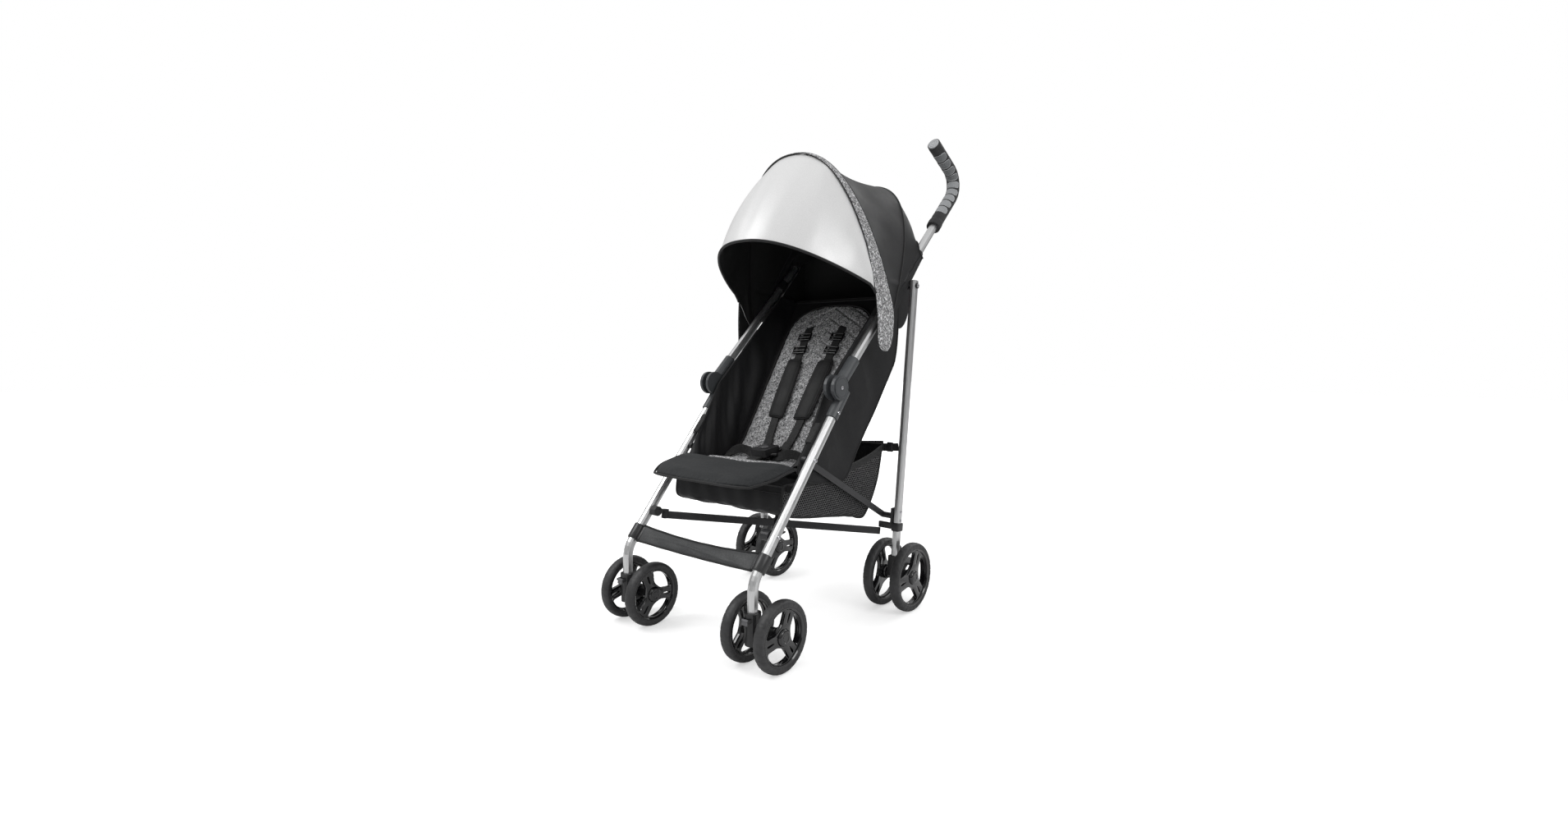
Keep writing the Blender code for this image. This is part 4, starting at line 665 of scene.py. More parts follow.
PAD_PITCH = 0.0262
for k in range(9):
    middle = 0.046 + PAD_PITCH * (k + 0.5)

    def pad_skin(u, v, lift, grow):
        """A pad on the foam, its corners rounded; its rim is the same shape, lower and larger."""
        across, length = 2 * v - 1, 2 * u - 1
        s = middle + length * (0.0098 + grow) * (1 - 0.18 * abs(across) ** 5)
        turn = math.radians(22) + across * math.radians(58 + grow * 3000) * (1 - 0.22 * abs(length) ** 5)
        return grip_skin(s, turn, GRIP_R + lift * (1 - max(abs(across), abs(length)) ** 6))

    for name, finish, lift, grow, thickness in (
        ("grip_pad", pad_light if k < 5 else pad_dark, 0.0009, 0.0, 0.0008),
        ("grip_pad_rim", pad_rim, 0.0003, 0.0012, 0.0006),
    ):
        made = walled(mapped_grid(12, 10, lambda u, v: pad_skin(u, v, lift, grow)), thickness)
        on_both(smoothed(made, 60), f"{name}_{k}", finish, "push", "grip_foam")


def along_tube(piece, x, at, way):
    """Turns a piece made along x to point along a tube's (y, z) way, and puts it there."""
    turn = Vector((1, 0, 0)).rotation_difference(Vector((0, *way))).to_matrix().to_4x4()
    piece.data.transform(Matrix.Translation(on_side(x, at)) @ turn)
    return piece


cap = spun([(0.0008, 0.0002), (0.0008, 0.0042), (0.0002, 0.0048), (0.0010, 0.0060), (0.0010, 0.0088),
            (0.0002, 0.0094), (0.0010, 0.0102), (0.0008, 0.0128), (-0.0006, 0.0140), (-0.0030, 0.0140),
            (-0.0030, 0.0002)], 48)
along_tube(cap, TUBE_X, *grip_spot(grip_length))
on_both(smoothed(cap, 30), "grip_cap", pad_rim, "push", "grip_foam")

# Cloth finishes.
# Woven threads are uneven streaks that cross; heather mixes dark and pale yarn, nylon is close and
# slightly shiny, and the visor is a silver-coated sheet.
weave_group, given, told = new_group(
    "crossing_threads",
    [("Vector", "NodeSocketVector", None), ("Dark", "NodeSocketColor", (0.01, 0.01, 0.01, 1)),
     ("Light", "NodeSocketColor", (0.03, 0.03, 0.03, 1)), ("Threads", "NodeSocketFloat", 900.0),
     ("Contrast", "NodeSocketFloat", 0.2)],
    [("Colour", "NodeSocketColor"), ("Height", "NodeSocketFloat"), ("Blotch", "NodeSocketFloat")],
)
streaks = []
for scale in ((1.0, 0.22, 0.22), (0.22, 0.7, 0.7)):
    lay = linked(weave_group, "ShaderNodeVectorMath", (0, given.outputs["Vector"]), (1, scale), operation="MULTIPLY")
    streaks.append(linked(weave_group, "ShaderNodeTexNoise", ("Vector", lay.outputs[0]),
                          ("Scale", given.outputs["Threads"]), ("Detail", 2.0), ("Roughness", 0.6)))
over = maths(weave_group, "MAXIMUM", streaks[0].outputs["Fac"], streaks[1].outputs["Fac"])
low = maths(weave_group, "SUBTRACT", 0.5, given.outputs["Contrast"])
high = maths(weave_group, "ADD", 0.66, given.outputs["Contrast"])
yarn = ranged(weave_group, over, (low, high))
blotch = linked(weave_group, "ShaderNodeTexNoise", ("Vector", given.outputs["Vector"]), ("Scale", 14.0),
                ("Detail", 3.0))
mixed = linked(weave_group, "ShaderNodeMix", ("Factor", yarn), ("A", given.outputs["Dark"]),
               ("B", given.outputs["Light"]), data_type="RGBA")
fed(told, ("Colour", mixed.outputs["Result"]), ("Height", over), ("Blotch", blotch.outputs["Fac"]))


def woven(name, dark, light, roughness, threads, contrast, depth, sheen=0.05, metal=0.0):
    """Cloth in two yarn colours; its roughness varies where it is rubbed."""
    made, where, shader = paint_of(name)
    cloth = linked(made, "ShaderNodeGroup", ("Vector", where), ("Dark", (*dark, 1)), ("Light", (*light, 1)),
                   ("Threads", threads), ("Contrast", contrast), node_tree=weave_group)
    rough = ranged(made, cloth.outputs["Blotch"], (0.3, 0.7), (roughness - 0.06, roughness + 0.06))
    bump = linked(made, "ShaderNodeBump", ("Height", cloth.outputs["Height"]), ("Strength", 0.5), ("Distance", depth))
    fed(shader, ("Base Color", cloth.outputs["Colour"]), ("Roughness", rough), ("Normal", bump.outputs[0]),
        ("Sheen Weight", sheen), ("Sheen Roughness", 0.5), ("Specular IOR Level", 0.30), ("Metallic", metal))
    made.diffuse_color = (*light, 1)
    return made


heather = woven("heather_cloth", (0.060, 0.060, 0.062), (0.74, 0.74, 0.75), 0.86, 780, 0.02, 0.0007)
nylon = woven("black_nylon", (0.004, 0.004, 0.005), (0.012, 0.012, 0.013), 0.58, 1500, 0.15, 0.0003, 0.02)
lining = woven("black_lining", (0.006, 0.006, 0.006), (0.014, 0.014, 0.015), 0.62, 1500, 0.15, 0.0003, 0.05)
charcoal = woven("charcoal_cloth", (0.012, 0.013, 0.014), (0.028, 0.030, 0.032), 0.74, 1100, 0.12, 0.0004)
silver_cloth = woven("silver_coated_cloth", (0.66, 0.66, 0.66), (0.80, 0.80, 0.80), 0.40, 1300, 0.2, 0.0002, 0.0, 0.2)
webbing = woven("black_webbing", (0.007, 0.007, 0.007), (0.030, 0.030, 0.031), 0.66, 900, 0.05, 0.0008)
net_cord = woven("net_cord", (0.040, 0.040, 0.041), (0.120, 0.120, 0.122), 0.60, 900, 0.05, 0.0004)
binding = woven("black_binding", (0.008, 0.008, 0.008), (0.020, 0.020, 0.021), 0.60, 1100, 0.1, 0.0005)


def sheeted(piece, name, materials, thickness, body, slot, *stands_for, inside=None):
    """Turns a surface's normals away from the point inside, thickens it inwards and hangs it;
    a second material lines it."""
    finished(piece.data, *materials)
    if inside is not None:
        out = sum(f.normal.dot(f.center - inside) * f.area for f in piece.data.polygons)
        if out < 0:
            piece.data.flip_normals()
    walled(piece, thickness, -1, len(materials) - 1)
    return named(smoothed(piece, 50), name, body, slot, *stands_for)


def laid_flat(place, steps=40):
    """The longest runs of a surface along v and along u, and its area, as the cloth is cut."""
    grid = [[place(i / steps, j / steps) for j in range(steps + 1)] for i in range(steps + 1)]
    width = max(sum((row[j + 1] - row[j]).length for j in range(steps)) for row in grid)
    length = max(sum((grid[i + 1][j] - grid[i][j]).length for i in range(steps)) for j in range(steps + 1))
    area = 0.0
    for i in range(steps):
        for j in range(steps):
            a, b, c, d = grid[i][j], grid[i + 1][j], grid[i + 1][j + 1], grid[i][j + 1]
            area += ((b - a).cross(c - a).length + (c - a).cross(d - a).length) / 2
    return (width, length), area


def piping(points, radius, closed=False):
    """A round cord along points, its ends closed."""
    unselected()
    line = bpy.data.curves.new("piping", "CURVE")
    line.dimensions = "3D"
    run = line.splines.new("POLY")
    run.points.add(len(points) - 1)
    for knot, point in zip(run.points, points):
        knot.co = (*point, 1)
    run.use_cyclic_u = closed
    line.bevel_depth = radius
    line.bevel_resolution = 3
    line.use_fill_caps = True
    made = bpy.data.objects.new("piping", line)
    bpy.context.scene.collection.objects.link(made)
    only(made)
    bpy.ops.object.convert(target="MESH")
    return smoothed(bpy.context.object, 60)


def bound(points, radius, name, body, slot="nylon_black", closed=False):
    """Binding tape rolled over an edge or a seam."""
    return hung(piping(points, radius, closed), name, binding, body, slot)


def run_over(place, count, u=None, v=None):
    """Points over a cloth along which u or v is held and the other runs from 0 to 1."""
    shares = [k / count for k in range(count + 1)]
    return [place(share if u is None else u, share if v is None else v) for share in shares]


def fold_flat(*pieces):
    """Gives each piece its own copy of its mesh."""
    for piece in pieces:
        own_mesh(piece)


# Canopy.
# A silver-coated visor with a black lining and a piped lip, a heather band over the front bow that
# widens to a rounded lobe at each clip, and a black shell sewn to it, over the tubes to its hem.
PIVOT = (0.3970, 0.6589)
BOW_TURN = math.radians(103)
REAR_TURN = math.radians(62)
TUBE_TURN = math.radians(44.2)
HEM_AT = Vector((0.5501, 0.8450))
TUBE_UP = Vector((-math.sin(TUBE_TURN), math.cos(TUBE_TURN)))


def along(angle):
    """A (y, z) direction at an angle above straight back."""
    return Vector((math.cos(angle), math.sin(angle)))


def behind(angle):
    """The direction square to that one, towards the rear."""
    return Vector((math.sin(angle), -math.cos(angle)))


def step(edge0, edge1, value):
    """A smooth rise from 0 at edge0 to 1 at edge1."""
    t = min(max((value - edge0) / (edge1 - edge0), 0.0), 1.0)
    return t * t * (3 - 2 * t)


def between(pairs, value):
    """Straight-line lookup in (value, result) pairs."""
    for (a, p), (b, q) in zip(pairs, pairs[1:]):
        if value <= b:
            return p + (q - p) * min(max((value - a) / (b - a), 0.0), 1.0)
    return pairs[-1][1]


def arch(share, half_x, rise, power, root):
    """(x, height) on a bow half_x wide each way, share from -1 to 1."""
    x = half_x * math.sin(share * math.pi / 2)
    return x, rise * max(0.0, 1 - abs(x / half_x) ** power) ** (1 / root)


def from_pivot(x, r, angle, back=0.0):
    """A point r away from the canopy's pivot at an angle, and back from that line."""
    return on_side(x, Vector(PIVOT) + along(angle) * r + behind(angle) * back)


pivot_middle = on_side(0, PIVOT)


LOBE = 0.84
BOW_POWERS = (2.3, 1.85)


def bow_at(v):
    """(x, r) along the front bow, v in 0..1 from lobe to lobe; past LOBE it runs on round each clip."""
    share = 2 * v - 1
    side = math.copysign(1, share)
    if abs(share) < LOBE:
        return arch(share / LOBE * 0.94, 0.2122, 0.4132, *BOW_POWERS)
    x, r = arch(0.94 * side, 0.2122, 0.4132, *BOW_POWERS)
    f = (abs(share) - LOBE) / (1 - LOBE)
    return x + side * 0.0012 * f, r + (-0.044 - r) * math.sin(f * math.pi / 2)


BAND_FRONT = ((-0.044, -0.027), (-0.0425, -0.038), (-0.037, -0.048), (-0.028, -0.0545), (-0.016, -0.0560),
              (0.016, -0.0500), (0.041, -0.045), (0.090, -0.036), (0.20, -0.021), (0.30, -0.014), (0.36, -0.010),
              (0.42, -0.0085))
BAND_REAR = ((-0.044, -0.027), (-0.0425, -0.016), (-0.037, -0.006), (-0.028, 0.002), (-0.016, 0.0090),
             (0.016, 0.0210), (0.041, 0.0245), (0.090, 0.0215), (0.20, 0.016), (0.30, 0.012), (0.36, 0.0095),
             (0.42, 0.0085))


def band_point(u, v):
    """The band: u from its front edge to its rear edge, v from lobe to lobe."""
    x, r = bow_at(v)
    w = 2 * u - 1
    front, rear = between(BAND_FRONT, r), between(BAND_REAR, r)
    place = from_pivot(x, r, BOW_TURN, (front + rear) / 2 + w * (rear - front) / 2)
    return place + (place - pivot_middle).normalized() * (0.0026 * (1 - w**4))


def bow_edge(v, back):
    """A seam on the bow, for shares inside the lobes."""
    x, r = arch(0.97 * (2 * v - 1), 0.2095, 0.411, *BOW_POWERS)
    return from_pivot(x, r, BOW_TURN, back)


def creased(place, centre, amount, turns, wander, u, v):
    """Soft, uneven folds: waves whose spacing drifts along the cloth."""
    wave = math.sin(turns * v + wander * math.sin(3.1 * v + 1.7 * u) + 2.2 * u)
    wave += 0.5 * math.sin(turns * 2.3 * v - 1.9 * u + 0.8)
    return place + (place - centre).normalized() * amount * wave


def visor_point(u, v):
    """The visor, from the bow (u = 0) to its lip (u = 1), with soft folds and two pulls."""
    near = bow_edge(v, -0.006)
    lip_x = 0.208 * math.sin(0.97 * (2 * v - 1) * math.pi / 2)
    reach = 0.228 * max(0.0, 1 - abs(lip_x / 0.208) ** 2.3) ** (1 / 1.15)
    lip = on_side(lip_x, Vector((0.338, 0.748)) + along(math.radians(155.6)) * reach)
    if abs(2 * v - 1) > 0.9:
        lip = lip.lerp(on_side(lip_x, (0.352, 0.705)), (abs(2 * v - 1) - 0.9) * 3)
    place = near.lerp(lip, u)
    place += (place - pivot_middle).normalized() * 0.016 * math.sin(math.pi * u) * math.sin(math.pi * v)
    mid = math.sin(math.pi * u) ** 0.7
    place = creased(place, pivot_middle, 0.0016 * mid, 17, 1.9, u, v)
    place = creased(place, pivot_middle, 0.0007 * mid, 43, 1.1, 0.6 * u, v)
    pull = math.exp(-((u - 0.25) / 0.3) ** 2) * math.exp(-((v - 0.66 - 0.06 * u) / 0.03) ** 2)
    pull += math.exp(-((u - 0.6) / 0.25) ** 2) * math.exp(-((v - 0.30 + 0.05 * u) / 0.025) ** 2)
    return place + (place - pivot_middle).normalized() * 0.0045 * pull


def rear_bow_point(v):
    """The rear bow's seam, drawn in and down at its ends."""
    share = 2 * v - 1
    x, r = arch(min(max(share, -0.985), 0.985), 0.2040, 0.430, 2.5, 2.1)
    low = step(0.86, 1.0, abs(share))
    return on_side(x, Vector(PIVOT) + along(REAR_TURN - 0.16 * low) * (r * (1 - 0.4 * low)))


HEM_WING = 0.82


def rear_hem_point(v):
    """The shell's hem, over the push tubes and round behind them."""
    share = 2 * v - 1
    side = math.copysign(1, share)
    if abs(share) > HEM_WING:
        f = (abs(share) - HEM_WING) / (1 - HEM_WING)
        return on_side(side * 0.1996, HEM_AT + TUBE_UP * (0.0135 - 0.027 * f))
    inner = abs(share) / HEM_WING
    x = 0.1990 * math.sin(inner * math.pi / 2)
    rise = max(0.0, 1 - (x / 0.1990) ** 1.8) ** (1 / 1.5)
    over = 0.0135 + 0.0150 * math.sin(math.pi * min(1.0, rise * 2.0)) * (rise < 0.5)
    return on_side(side * x, HEM_AT + Vector((0.100, 0.045)) * rise + TUBE_UP * over)


SHELL_HALF = 0.1995


def shell_point(u, v):
    """The shell, from the front bow (u = 0) over the rear bow (0.6) to its hem (1)."""
    front = bow_edge(v, 0.006)
    middle = rear_bow_point(v)
    edge = math.sin(math.pi * v)
    if u < 0.6:
        f = u / 0.6
        place = front.lerp(middle, f)
        sag = 0.013 * math.sin(math.pi * f) * edge
        place -= (place - pivot_middle).normalized() * sag
        place = creased(place, pivot_middle, 0.0018 * math.sin(math.pi * f), 15, 1.4, f, v)
    else:
        f = (u - 0.6) / 0.4
        place = middle.lerp(rear_hem_point(v), f)
        place += Vector((0, 0.85, 0.5)) * 0.022 * math.sin(math.pi * f) * edge**1.5
        place = creased(place, pivot_middle, 0.0016 * math.sin(math.pi * f) * edge, 19, 1.2, f, v)
    if abs(place.x) < SHELL_HALF and abs(2 * v - 1) > LOBE and u > 0.02:
        place.x = math.copysign(SHELL_HALF, place.x)
    return place


band = sheeted(mapped_grid(260, 16, band_point), "canopy_band", (heather, lining), 0.0015,
               "canopy_front", "heather_grey", "canopy_bow", inside=pivot_middle)
visor = sheeted(mapped_grid(240, 70, visor_point), "canopy_visor_sheet", (silver_cloth, lining),
                0.0012, "visor", "visor_silver", "canopy_visor", inside=pivot_middle)
shell = sheeted(mapped_grid(220, 110, shell_point), "canopy_shell_cloth", (nylon, lining), 0.0014,
                "canopy", "nylon_black", "canopy_shell", inside=pivot_middle)
lip = bound(run_over(visor_point, 160, u=1.0), 0.0030, "visor_lip", "visor")
seam = bound(run_over(band_point, 160, u=1.0), 0.0015, "band_rear_piping", "canopy_front")
seam_front = bound(run_over(band_point, 160, u=0.0), 0.0010, "band_front_piping", "canopy_front")
rear_seam = bound(run_over(shell_point, 160, u=0.6), 0.0022, "rear_bow_binding", "canopy")
hem_cord = bound(run_over(shell_point, 160, u=1.0), 0.0020, "shell_hem", "canopy")
clips = [applied(bevelled(round_block(on_side(x, PIVOT), 0.0105, 0.0085, 40), 0.0012)) for x in (0.2040, -0.2040)]
clip = hung(smoothed(joined(*clips)), "canopy_clips", satin_black, "canopy_front", "black_plastic")

# Curtain at the back of the canopy.
# A lined black nylon panel is sewn to the shell's hem and falls to the back of the seat. Its head
# closes the gap under the hem, and a sleeve and a webbing strap hold it to each push tube.
CURTAIN_SIDE = [(0.5501, 0.8470), (0.5560, 0.790), (0.5580, 0.730), (0.5500, 0.690), (0.5300, 0.668), (0.5080, 0.672),
                (0.4900, 0.700)]
CURTAIN_MIDDLE = [(0.6485, 0.9000), (0.6560, 0.830), (0.6420, 0.750), (0.6100, 0.690), (0.5700, 0.664),
                  (0.5250, 0.672), (0.4950, 0.712)]
CURTAIN_TUBE = [(0.5501, 0.8470), (0.5301, 0.8224), (0.5101, 0.8029), (0.4901, 0.7835), (0.4701, 0.7641),
                (0.4573, 0.7450), (0.4573, 0.7200)]


def through(points, t):
    """A smooth curve through (y, z) points, t in 0..1."""
    knots = [Vector(p) for p in points]
    scaled = min(max(t, 0.0), 1.0) * (len(knots) - 1)
    k = min(int(scaled), len(knots) - 2)
    f = scaled - k
    b, c = knots[k], knots[k + 1]
    a = knots[k - 1] if k else b * 2 - c
    d = knots[k + 2] if k + 2 < len(knots) else c * 2 - b
    return ((b * 3 - a - c * 3 + d) * f**3 + (a * 2 - b * 5 + c * 4 - d) * f**2 + (c - a) * f + b * 2) / 2


CURTAIN_WING = 0.78


def curtain_point(u, v):
    """The curtain, from under the hem (u = 0) down, its wings carried along the tubes."""
    share = min(max((2 * v - 1) / CURTAIN_WING, -1.0), 1.0)
    x = 0.1690 * math.sin(share * math.pi / 2) * (1 - 0.05 * u)
    rise = max(0.0, 1 - abs(math.sin(share * math.pi / 2)) ** 1.8) ** (1 / 1.5)
    at = through(CURTAIN_SIDE, u).lerp(through(CURTAIN_MIDDLE, u), rise)
    wing = max(0.0, abs(2 * v - 1) - CURTAIN_WING) / (1 - CURTAIN_WING)
    at = at.lerp(through(CURTAIN_TUBE, u), wing)
    sway = 0.0035 * math.sin(11 * v + 2 * u) * math.sin(math.pi * u) + 0.002 * math.sin(23 * v - 3 * u) * u
    sway *= 1 - wing
    return on_side(x, at + Vector((sway, 0)))


under_hood = on_side(0, (0.48, 0.76))
curtain = sheeted(mapped_grid(120, 70, curtain_point), "canopy_curtain", (nylon, lining), 0.0012,
                  "canopy", "nylon_black", inside=under_hood)
curtain_hem = bound(run_over(curtain_point, 60, u=1.0), 0.0022, "curtain_hem", "canopy")
curtain_head = sheeted(mapped_grid(120, 12, lambda u, v: rear_hem_point(v).lerp(curtain_point(0.02, v), u)),
                       "canopy_curtain_head", (nylon, lining), 0.0012, "canopy", "nylon_black", inside=under_hood)


def wrap_point(u, v):
    """The canopy's cloth under the push tube, from the curtain's edge round to the shell's edge."""
    at = Vector((0.4300, 0.7262)).lerp(HEM_AT, u)
    turn = math.pi * (1 + v)
    high = 0.0135 * math.sin(turn) + 0.001 * math.sin(25 * u)
    return on_side(0.1845 + 0.0155 * math.cos(turn), at + TUBE_UP * high)


wraps = []
for side in ("right", "left"):
    made = mapped_grid(16, 60, wrap_point)
    if side == "left":
        other_side(made)
    wraps.append(sheeted(made, f"canopy_tube_sleeve_{side}", (nylon,), 0.0010, "canopy", "nylon_black"))
strap = spun([(-0.0085, 0.0108), (0.0085, 0.0108), (0.0085, 0.0130), (-0.0085, 0.0130)], 40)
along_tube(strap, TUBE_X, HEM_AT - TUBE_UP * 0.0023, along(TUBE_TURN))
on_both(smoothed(strap), "hem_strap", webbing, "push", "nylon_black")

band_cut, band_area = laid_flat(band_point)
for piece, place, others in ((visor, visor_point, [lip]), (shell, shell_point, [rear_seam, hem_cord]),
                             (curtain, curtain_point, [curtain_hem, curtain_head]), (wraps[0], wrap_point, []),
                             (wraps[1], wrap_point, [])):
    cut, area = laid_flat(place)
fold_flat(band, visor, shell, lip, seam, seam_front, rear_seam, hem_cord, curtain, curtain_hem, curtain_head,
          clip, *wraps)

# Seat sling.
# One black nylon sheet hangs between the tubes: down from each side in long soft folds, across the
# seat and up the back, tied to the legs and the push tubes with cloth tabs.
SEAT_LINE = [
    (0.1180, 0.3620), (0.1316, 0.3593), (0.1452, 0.3565), (0.1588, 0.3539), (0.1720, 0.3520), (0.1850, 0.3502),
    (0.1978, 0.3486), (0.2102, 0.3482), (0.2220, 0.3500), (0.2329, 0.3539), (0.2432, 0.3596), (0.2533, 0.3674),
    (0.2640, 0.3780), (0.2744, 0.3906), (0.2844, 0.4053), (0.2960, 0.4236), (0.3110, 0.4470), (0.3304, 0.4774),
    (0.3532, 0.5136), (0.3776, 0.5522), (0.4020, 0.5900), (0.4264, 0.6266), (0.4514, 0.6637), (0.4768, 0.7009),
    (0.5020, 0.7380),
]
SEAT_HALF = 0.142
seat_runs = runs_of(SEAT_LINE)


def seat_at(u, x, lift):
    """A point lift above the seat's cloth, u in 0..1 from its front edge to the top of its back."""
    last = len(SEAT_LINE) - 1
    scaled = min(max(u, 0.0), 1.0) * last
    k = min(int(scaled), last - 1)
    f = scaled - k
    up = Vector((0, 0))
    for j, weight in ((k, 1 - f), (k + 1, f)):
        low, high = Vector(SEAT_LINE[max(j - 1, 0)]), Vector(SEAT_LINE[min(j + 1, last)])
        run = (high - low).normalized()
        up += Vector((-run.y, run.x)) * weight
    return on_side(x, Vector(SEAT_LINE[k]).lerp(Vector(SEAT_LINE[k + 1]), f) + up * lift)


def seat_up(u):
    """The direction away from the seat's cloth."""
    return seat_at(u, 0, 1) - seat_at(u, 0, 0)


SIDE_LINE = [(0.1319, 0.372), ELBOW, (0.4573, 0.752)]
lower_run = math.dist(SIDE_LINE[0], ELBOW)
upper_run = math.dist(ELBOW, SIDE_LINE[2])


def side_edge(u):
    """Where the cloth meets the tubes: up the front leg, then up the push tube."""
    run = u * (lower_run + upper_run)
    if run < lower_run:
        return Vector(SIDE_LINE[0]).lerp(Vector(ELBOW), run / lower_run)
    return Vector(ELBOW).lerp(Vector(SIDE_LINE[2]), (run - lower_run) / upper_run)


def sling_point(u, v):
    """The whole sling: v over one side, across the seat and over the other side."""
    side = -1 if v < 0.5 else 1
    edge = min(v, 1 - v)
    if edge >= 0.25:
        return seat_at(u, side * SEAT_HALF * (0.5 - edge) / 0.25, 0.0)
    rise = 1 - edge / 0.25
    low, high = seat_at(u, 0, 0), side_edge(u)
    place = Vector((low.y + MIDDLE, low.z)).lerp(high, rise)
    spread = 0.019 * math.sin(rise * math.pi / 2)
    hang = math.sin(math.pi * rise) ** 0.8
    fold = 0.5 - 0.5 * math.cos(2 * math.pi * (5.2 * u + 0.35 * math.sin(5 * u + 2.2 * rise)))
    fine = 0.5 - 0.5 * math.cos(2 * math.pi * (13.0 * u + 0.5 * math.sin(7 * u - 3 * rise)))
    fold = hang * (0.0062 * fold**1.4 + 0.0016 * fine)
    return on_side(side * (SEAT_HALF + spread - fold), place)


# The cloth parts at the hinge of the back: its middle leans back with the pad.
BACK_U = 0.415
wings = [mapped_grid(170, 60, lambda u, v: sling_point(u, 0.2499 * v)),
         mapped_grid(170, 60, lambda u, v: sling_point(u, 0.7501 + 0.2499 * v))]
base = mapped_grid(70, 110, lambda u, v: seat_at(BACK_U * u, SEAT_HALF * (2 * v - 1), 0.0))
over_lap = on_side(0, (0.20, 0.60))
sling = sheeted(joined(base, *wings), "seat_sling_cloth", (nylon,), 0.0016, "seat",
                "nylon_black", "seat_sling", inside=over_lap)


def back_point(u, v):
    return seat_at(BACK_U + (1 - BACK_U) * u, SEAT_HALF * (2 * v - 1), 0.0)


sling_back = sheeted(mapped_grid(100, 110, back_point), "seat_back_cloth", (nylon,), 0.0016, "backrest",
                     "nylon_black", inside=over_lap)
PANEL_TOP = Vector((0.5080, 0.745))
PANEL_HEM = [(0.128, 0.356), (0.163, 0.334), (0.225, 0.325), (0.284, 0.320), (0.312, 0.338), (0.338, 0.378),
             (0.374, 0.424), (0.410, 0.466), (0.440, 0.505), (0.478, 0.556), (0.512, 0.604), (0.530, 0.655)]


def panel_point(u, v):
    """The outer face of the near side, from the tubes (v = 0) to its hem (v = 1)."""
    high = side_edge(u)
    low = through(PANEL_HEM, u)
    if u > 0.86:
        low = low.lerp(PANEL_TOP, step(0.86, 1.0, u))
    fold = math.sin(math.pi * v) * (0.0022 * math.sin(17 * u + 2.5 * v) + 0.0010 * math.sin(41 * u - 3 * v))
    tuck = 0.0010 + max(fold, -0.0008)
    return on_side(0.1635 - tuck, high.lerp(low, v))


def under_point(u, v):
    """The sling's underside, from the front of the seat round to the top of its back."""
    across = 2 * v - 1
    at = through(PANEL_HEM, u).lerp(PANEL_TOP, step(0.86, 1.0, u))
    sag = 0.012 * (1 - across**2) * math.sin(math.pi * min(u * 1.3, 1.0))
    crease = 0.0025 * math.sin(9 * v + 21 * u) * math.sin(math.pi * u) * (1 - across**4)
    ahead = (through(PANEL_HEM, min(u + 0.02, 1)) - through(PANEL_HEM, max(u - 0.02, 0))).normalized()
    half = 0.1552 + 0.0068 * step(0.42, 0.60, u)
    return on_side(half * across, at + Vector((-ahead.y, ahead.x)) * (sag + crease))


def under_low(u, v):
    return under_point(0.4 * u, v)


def under_high(u, v):
    return under_point(0.4 + 0.6 * u, v)


panels = []
for side in ("right", "left"):
    made = mapped_grid(60, 110, panel_point)
    if side == "left":
        other_side(made)
    panels.append(sheeted(made, f"seat_side_{side}", (nylon,), 0.0012, "seat", "nylon_black",
                          inside=on_side(0, (0.30, 0.50))))
above_seat = on_side(0, (0.30, 0.60))
under = sheeted(mapped_grid(30, 110, under_low), "seat_underside", (nylon,), 0.0012,
                "seat", "nylon_black", inside=above_seat)
back_under = sheeted(mapped_grid(45, 110, under_high), "seat_back_underside", (nylon,),
                     0.0012, "backrest", "nylon_black", inside=above_seat)
cords = [piping(run_over(panel_point, 70, v=v), 0.0016) for v in (1.0, 0.0)]
cords += [piping(run_over(panel_point, 20, u=u), 0.0022) for u in (0.0, 1.0)]
cords += [copied(cord, mirror=True) for cord in cords]
hems = hung(joined(*cords), "seat_side_hems", binding, "seat", "nylon_black")
top_roll = bound([seat_at(1.0, 0.150 * (k / 30 - 1), 0.0) for k in range(61)], 0.0032, "seat_back_hem", "backrest")

LEG_TURN = math.radians(50.6)
tabs = []
for u, lean in ((0.15, LEG_TURN), (0.86, TUBE_TURN)):
    for sign in (1, -1):
        tabs.append(smoothed(block((0.0165, 0.050, 0.0052), sign * 0.1688, side_edge(u), 0.0018, lean), 50))
tabs = hung(joined(*tabs), "seat_tabs", webbing, "seat", "nylon_black")

# Seat pads.
# Two quilted heather pads with a crown, drawn in at their bound edges, lie on the sling. Both are
# stitched in chevrons that point up the back.


def open_edges(piece):
    """Opens a piece in edit mode with its open edges selected."""
    edited(piece)
    bpy.ops.mesh.select_mode(type="EDGE")
    bpy.ops.mesh.select_all(action="DESELECT")
    bpy.ops.mesh.select_non_manifold()


def closed_sheet(columns, rows, front, back):
    """A closed pad between two surfaces, with its edge joined."""
    top = mapped_grid(columns, rows, front)
    under = mapped_grid(columns, rows, back)
    under.data.flip_normals()
    made = joined(top, under)
    open_edges(made)
    bpy.ops.mesh.bridge_edge_loops()
    return turned_out(made)


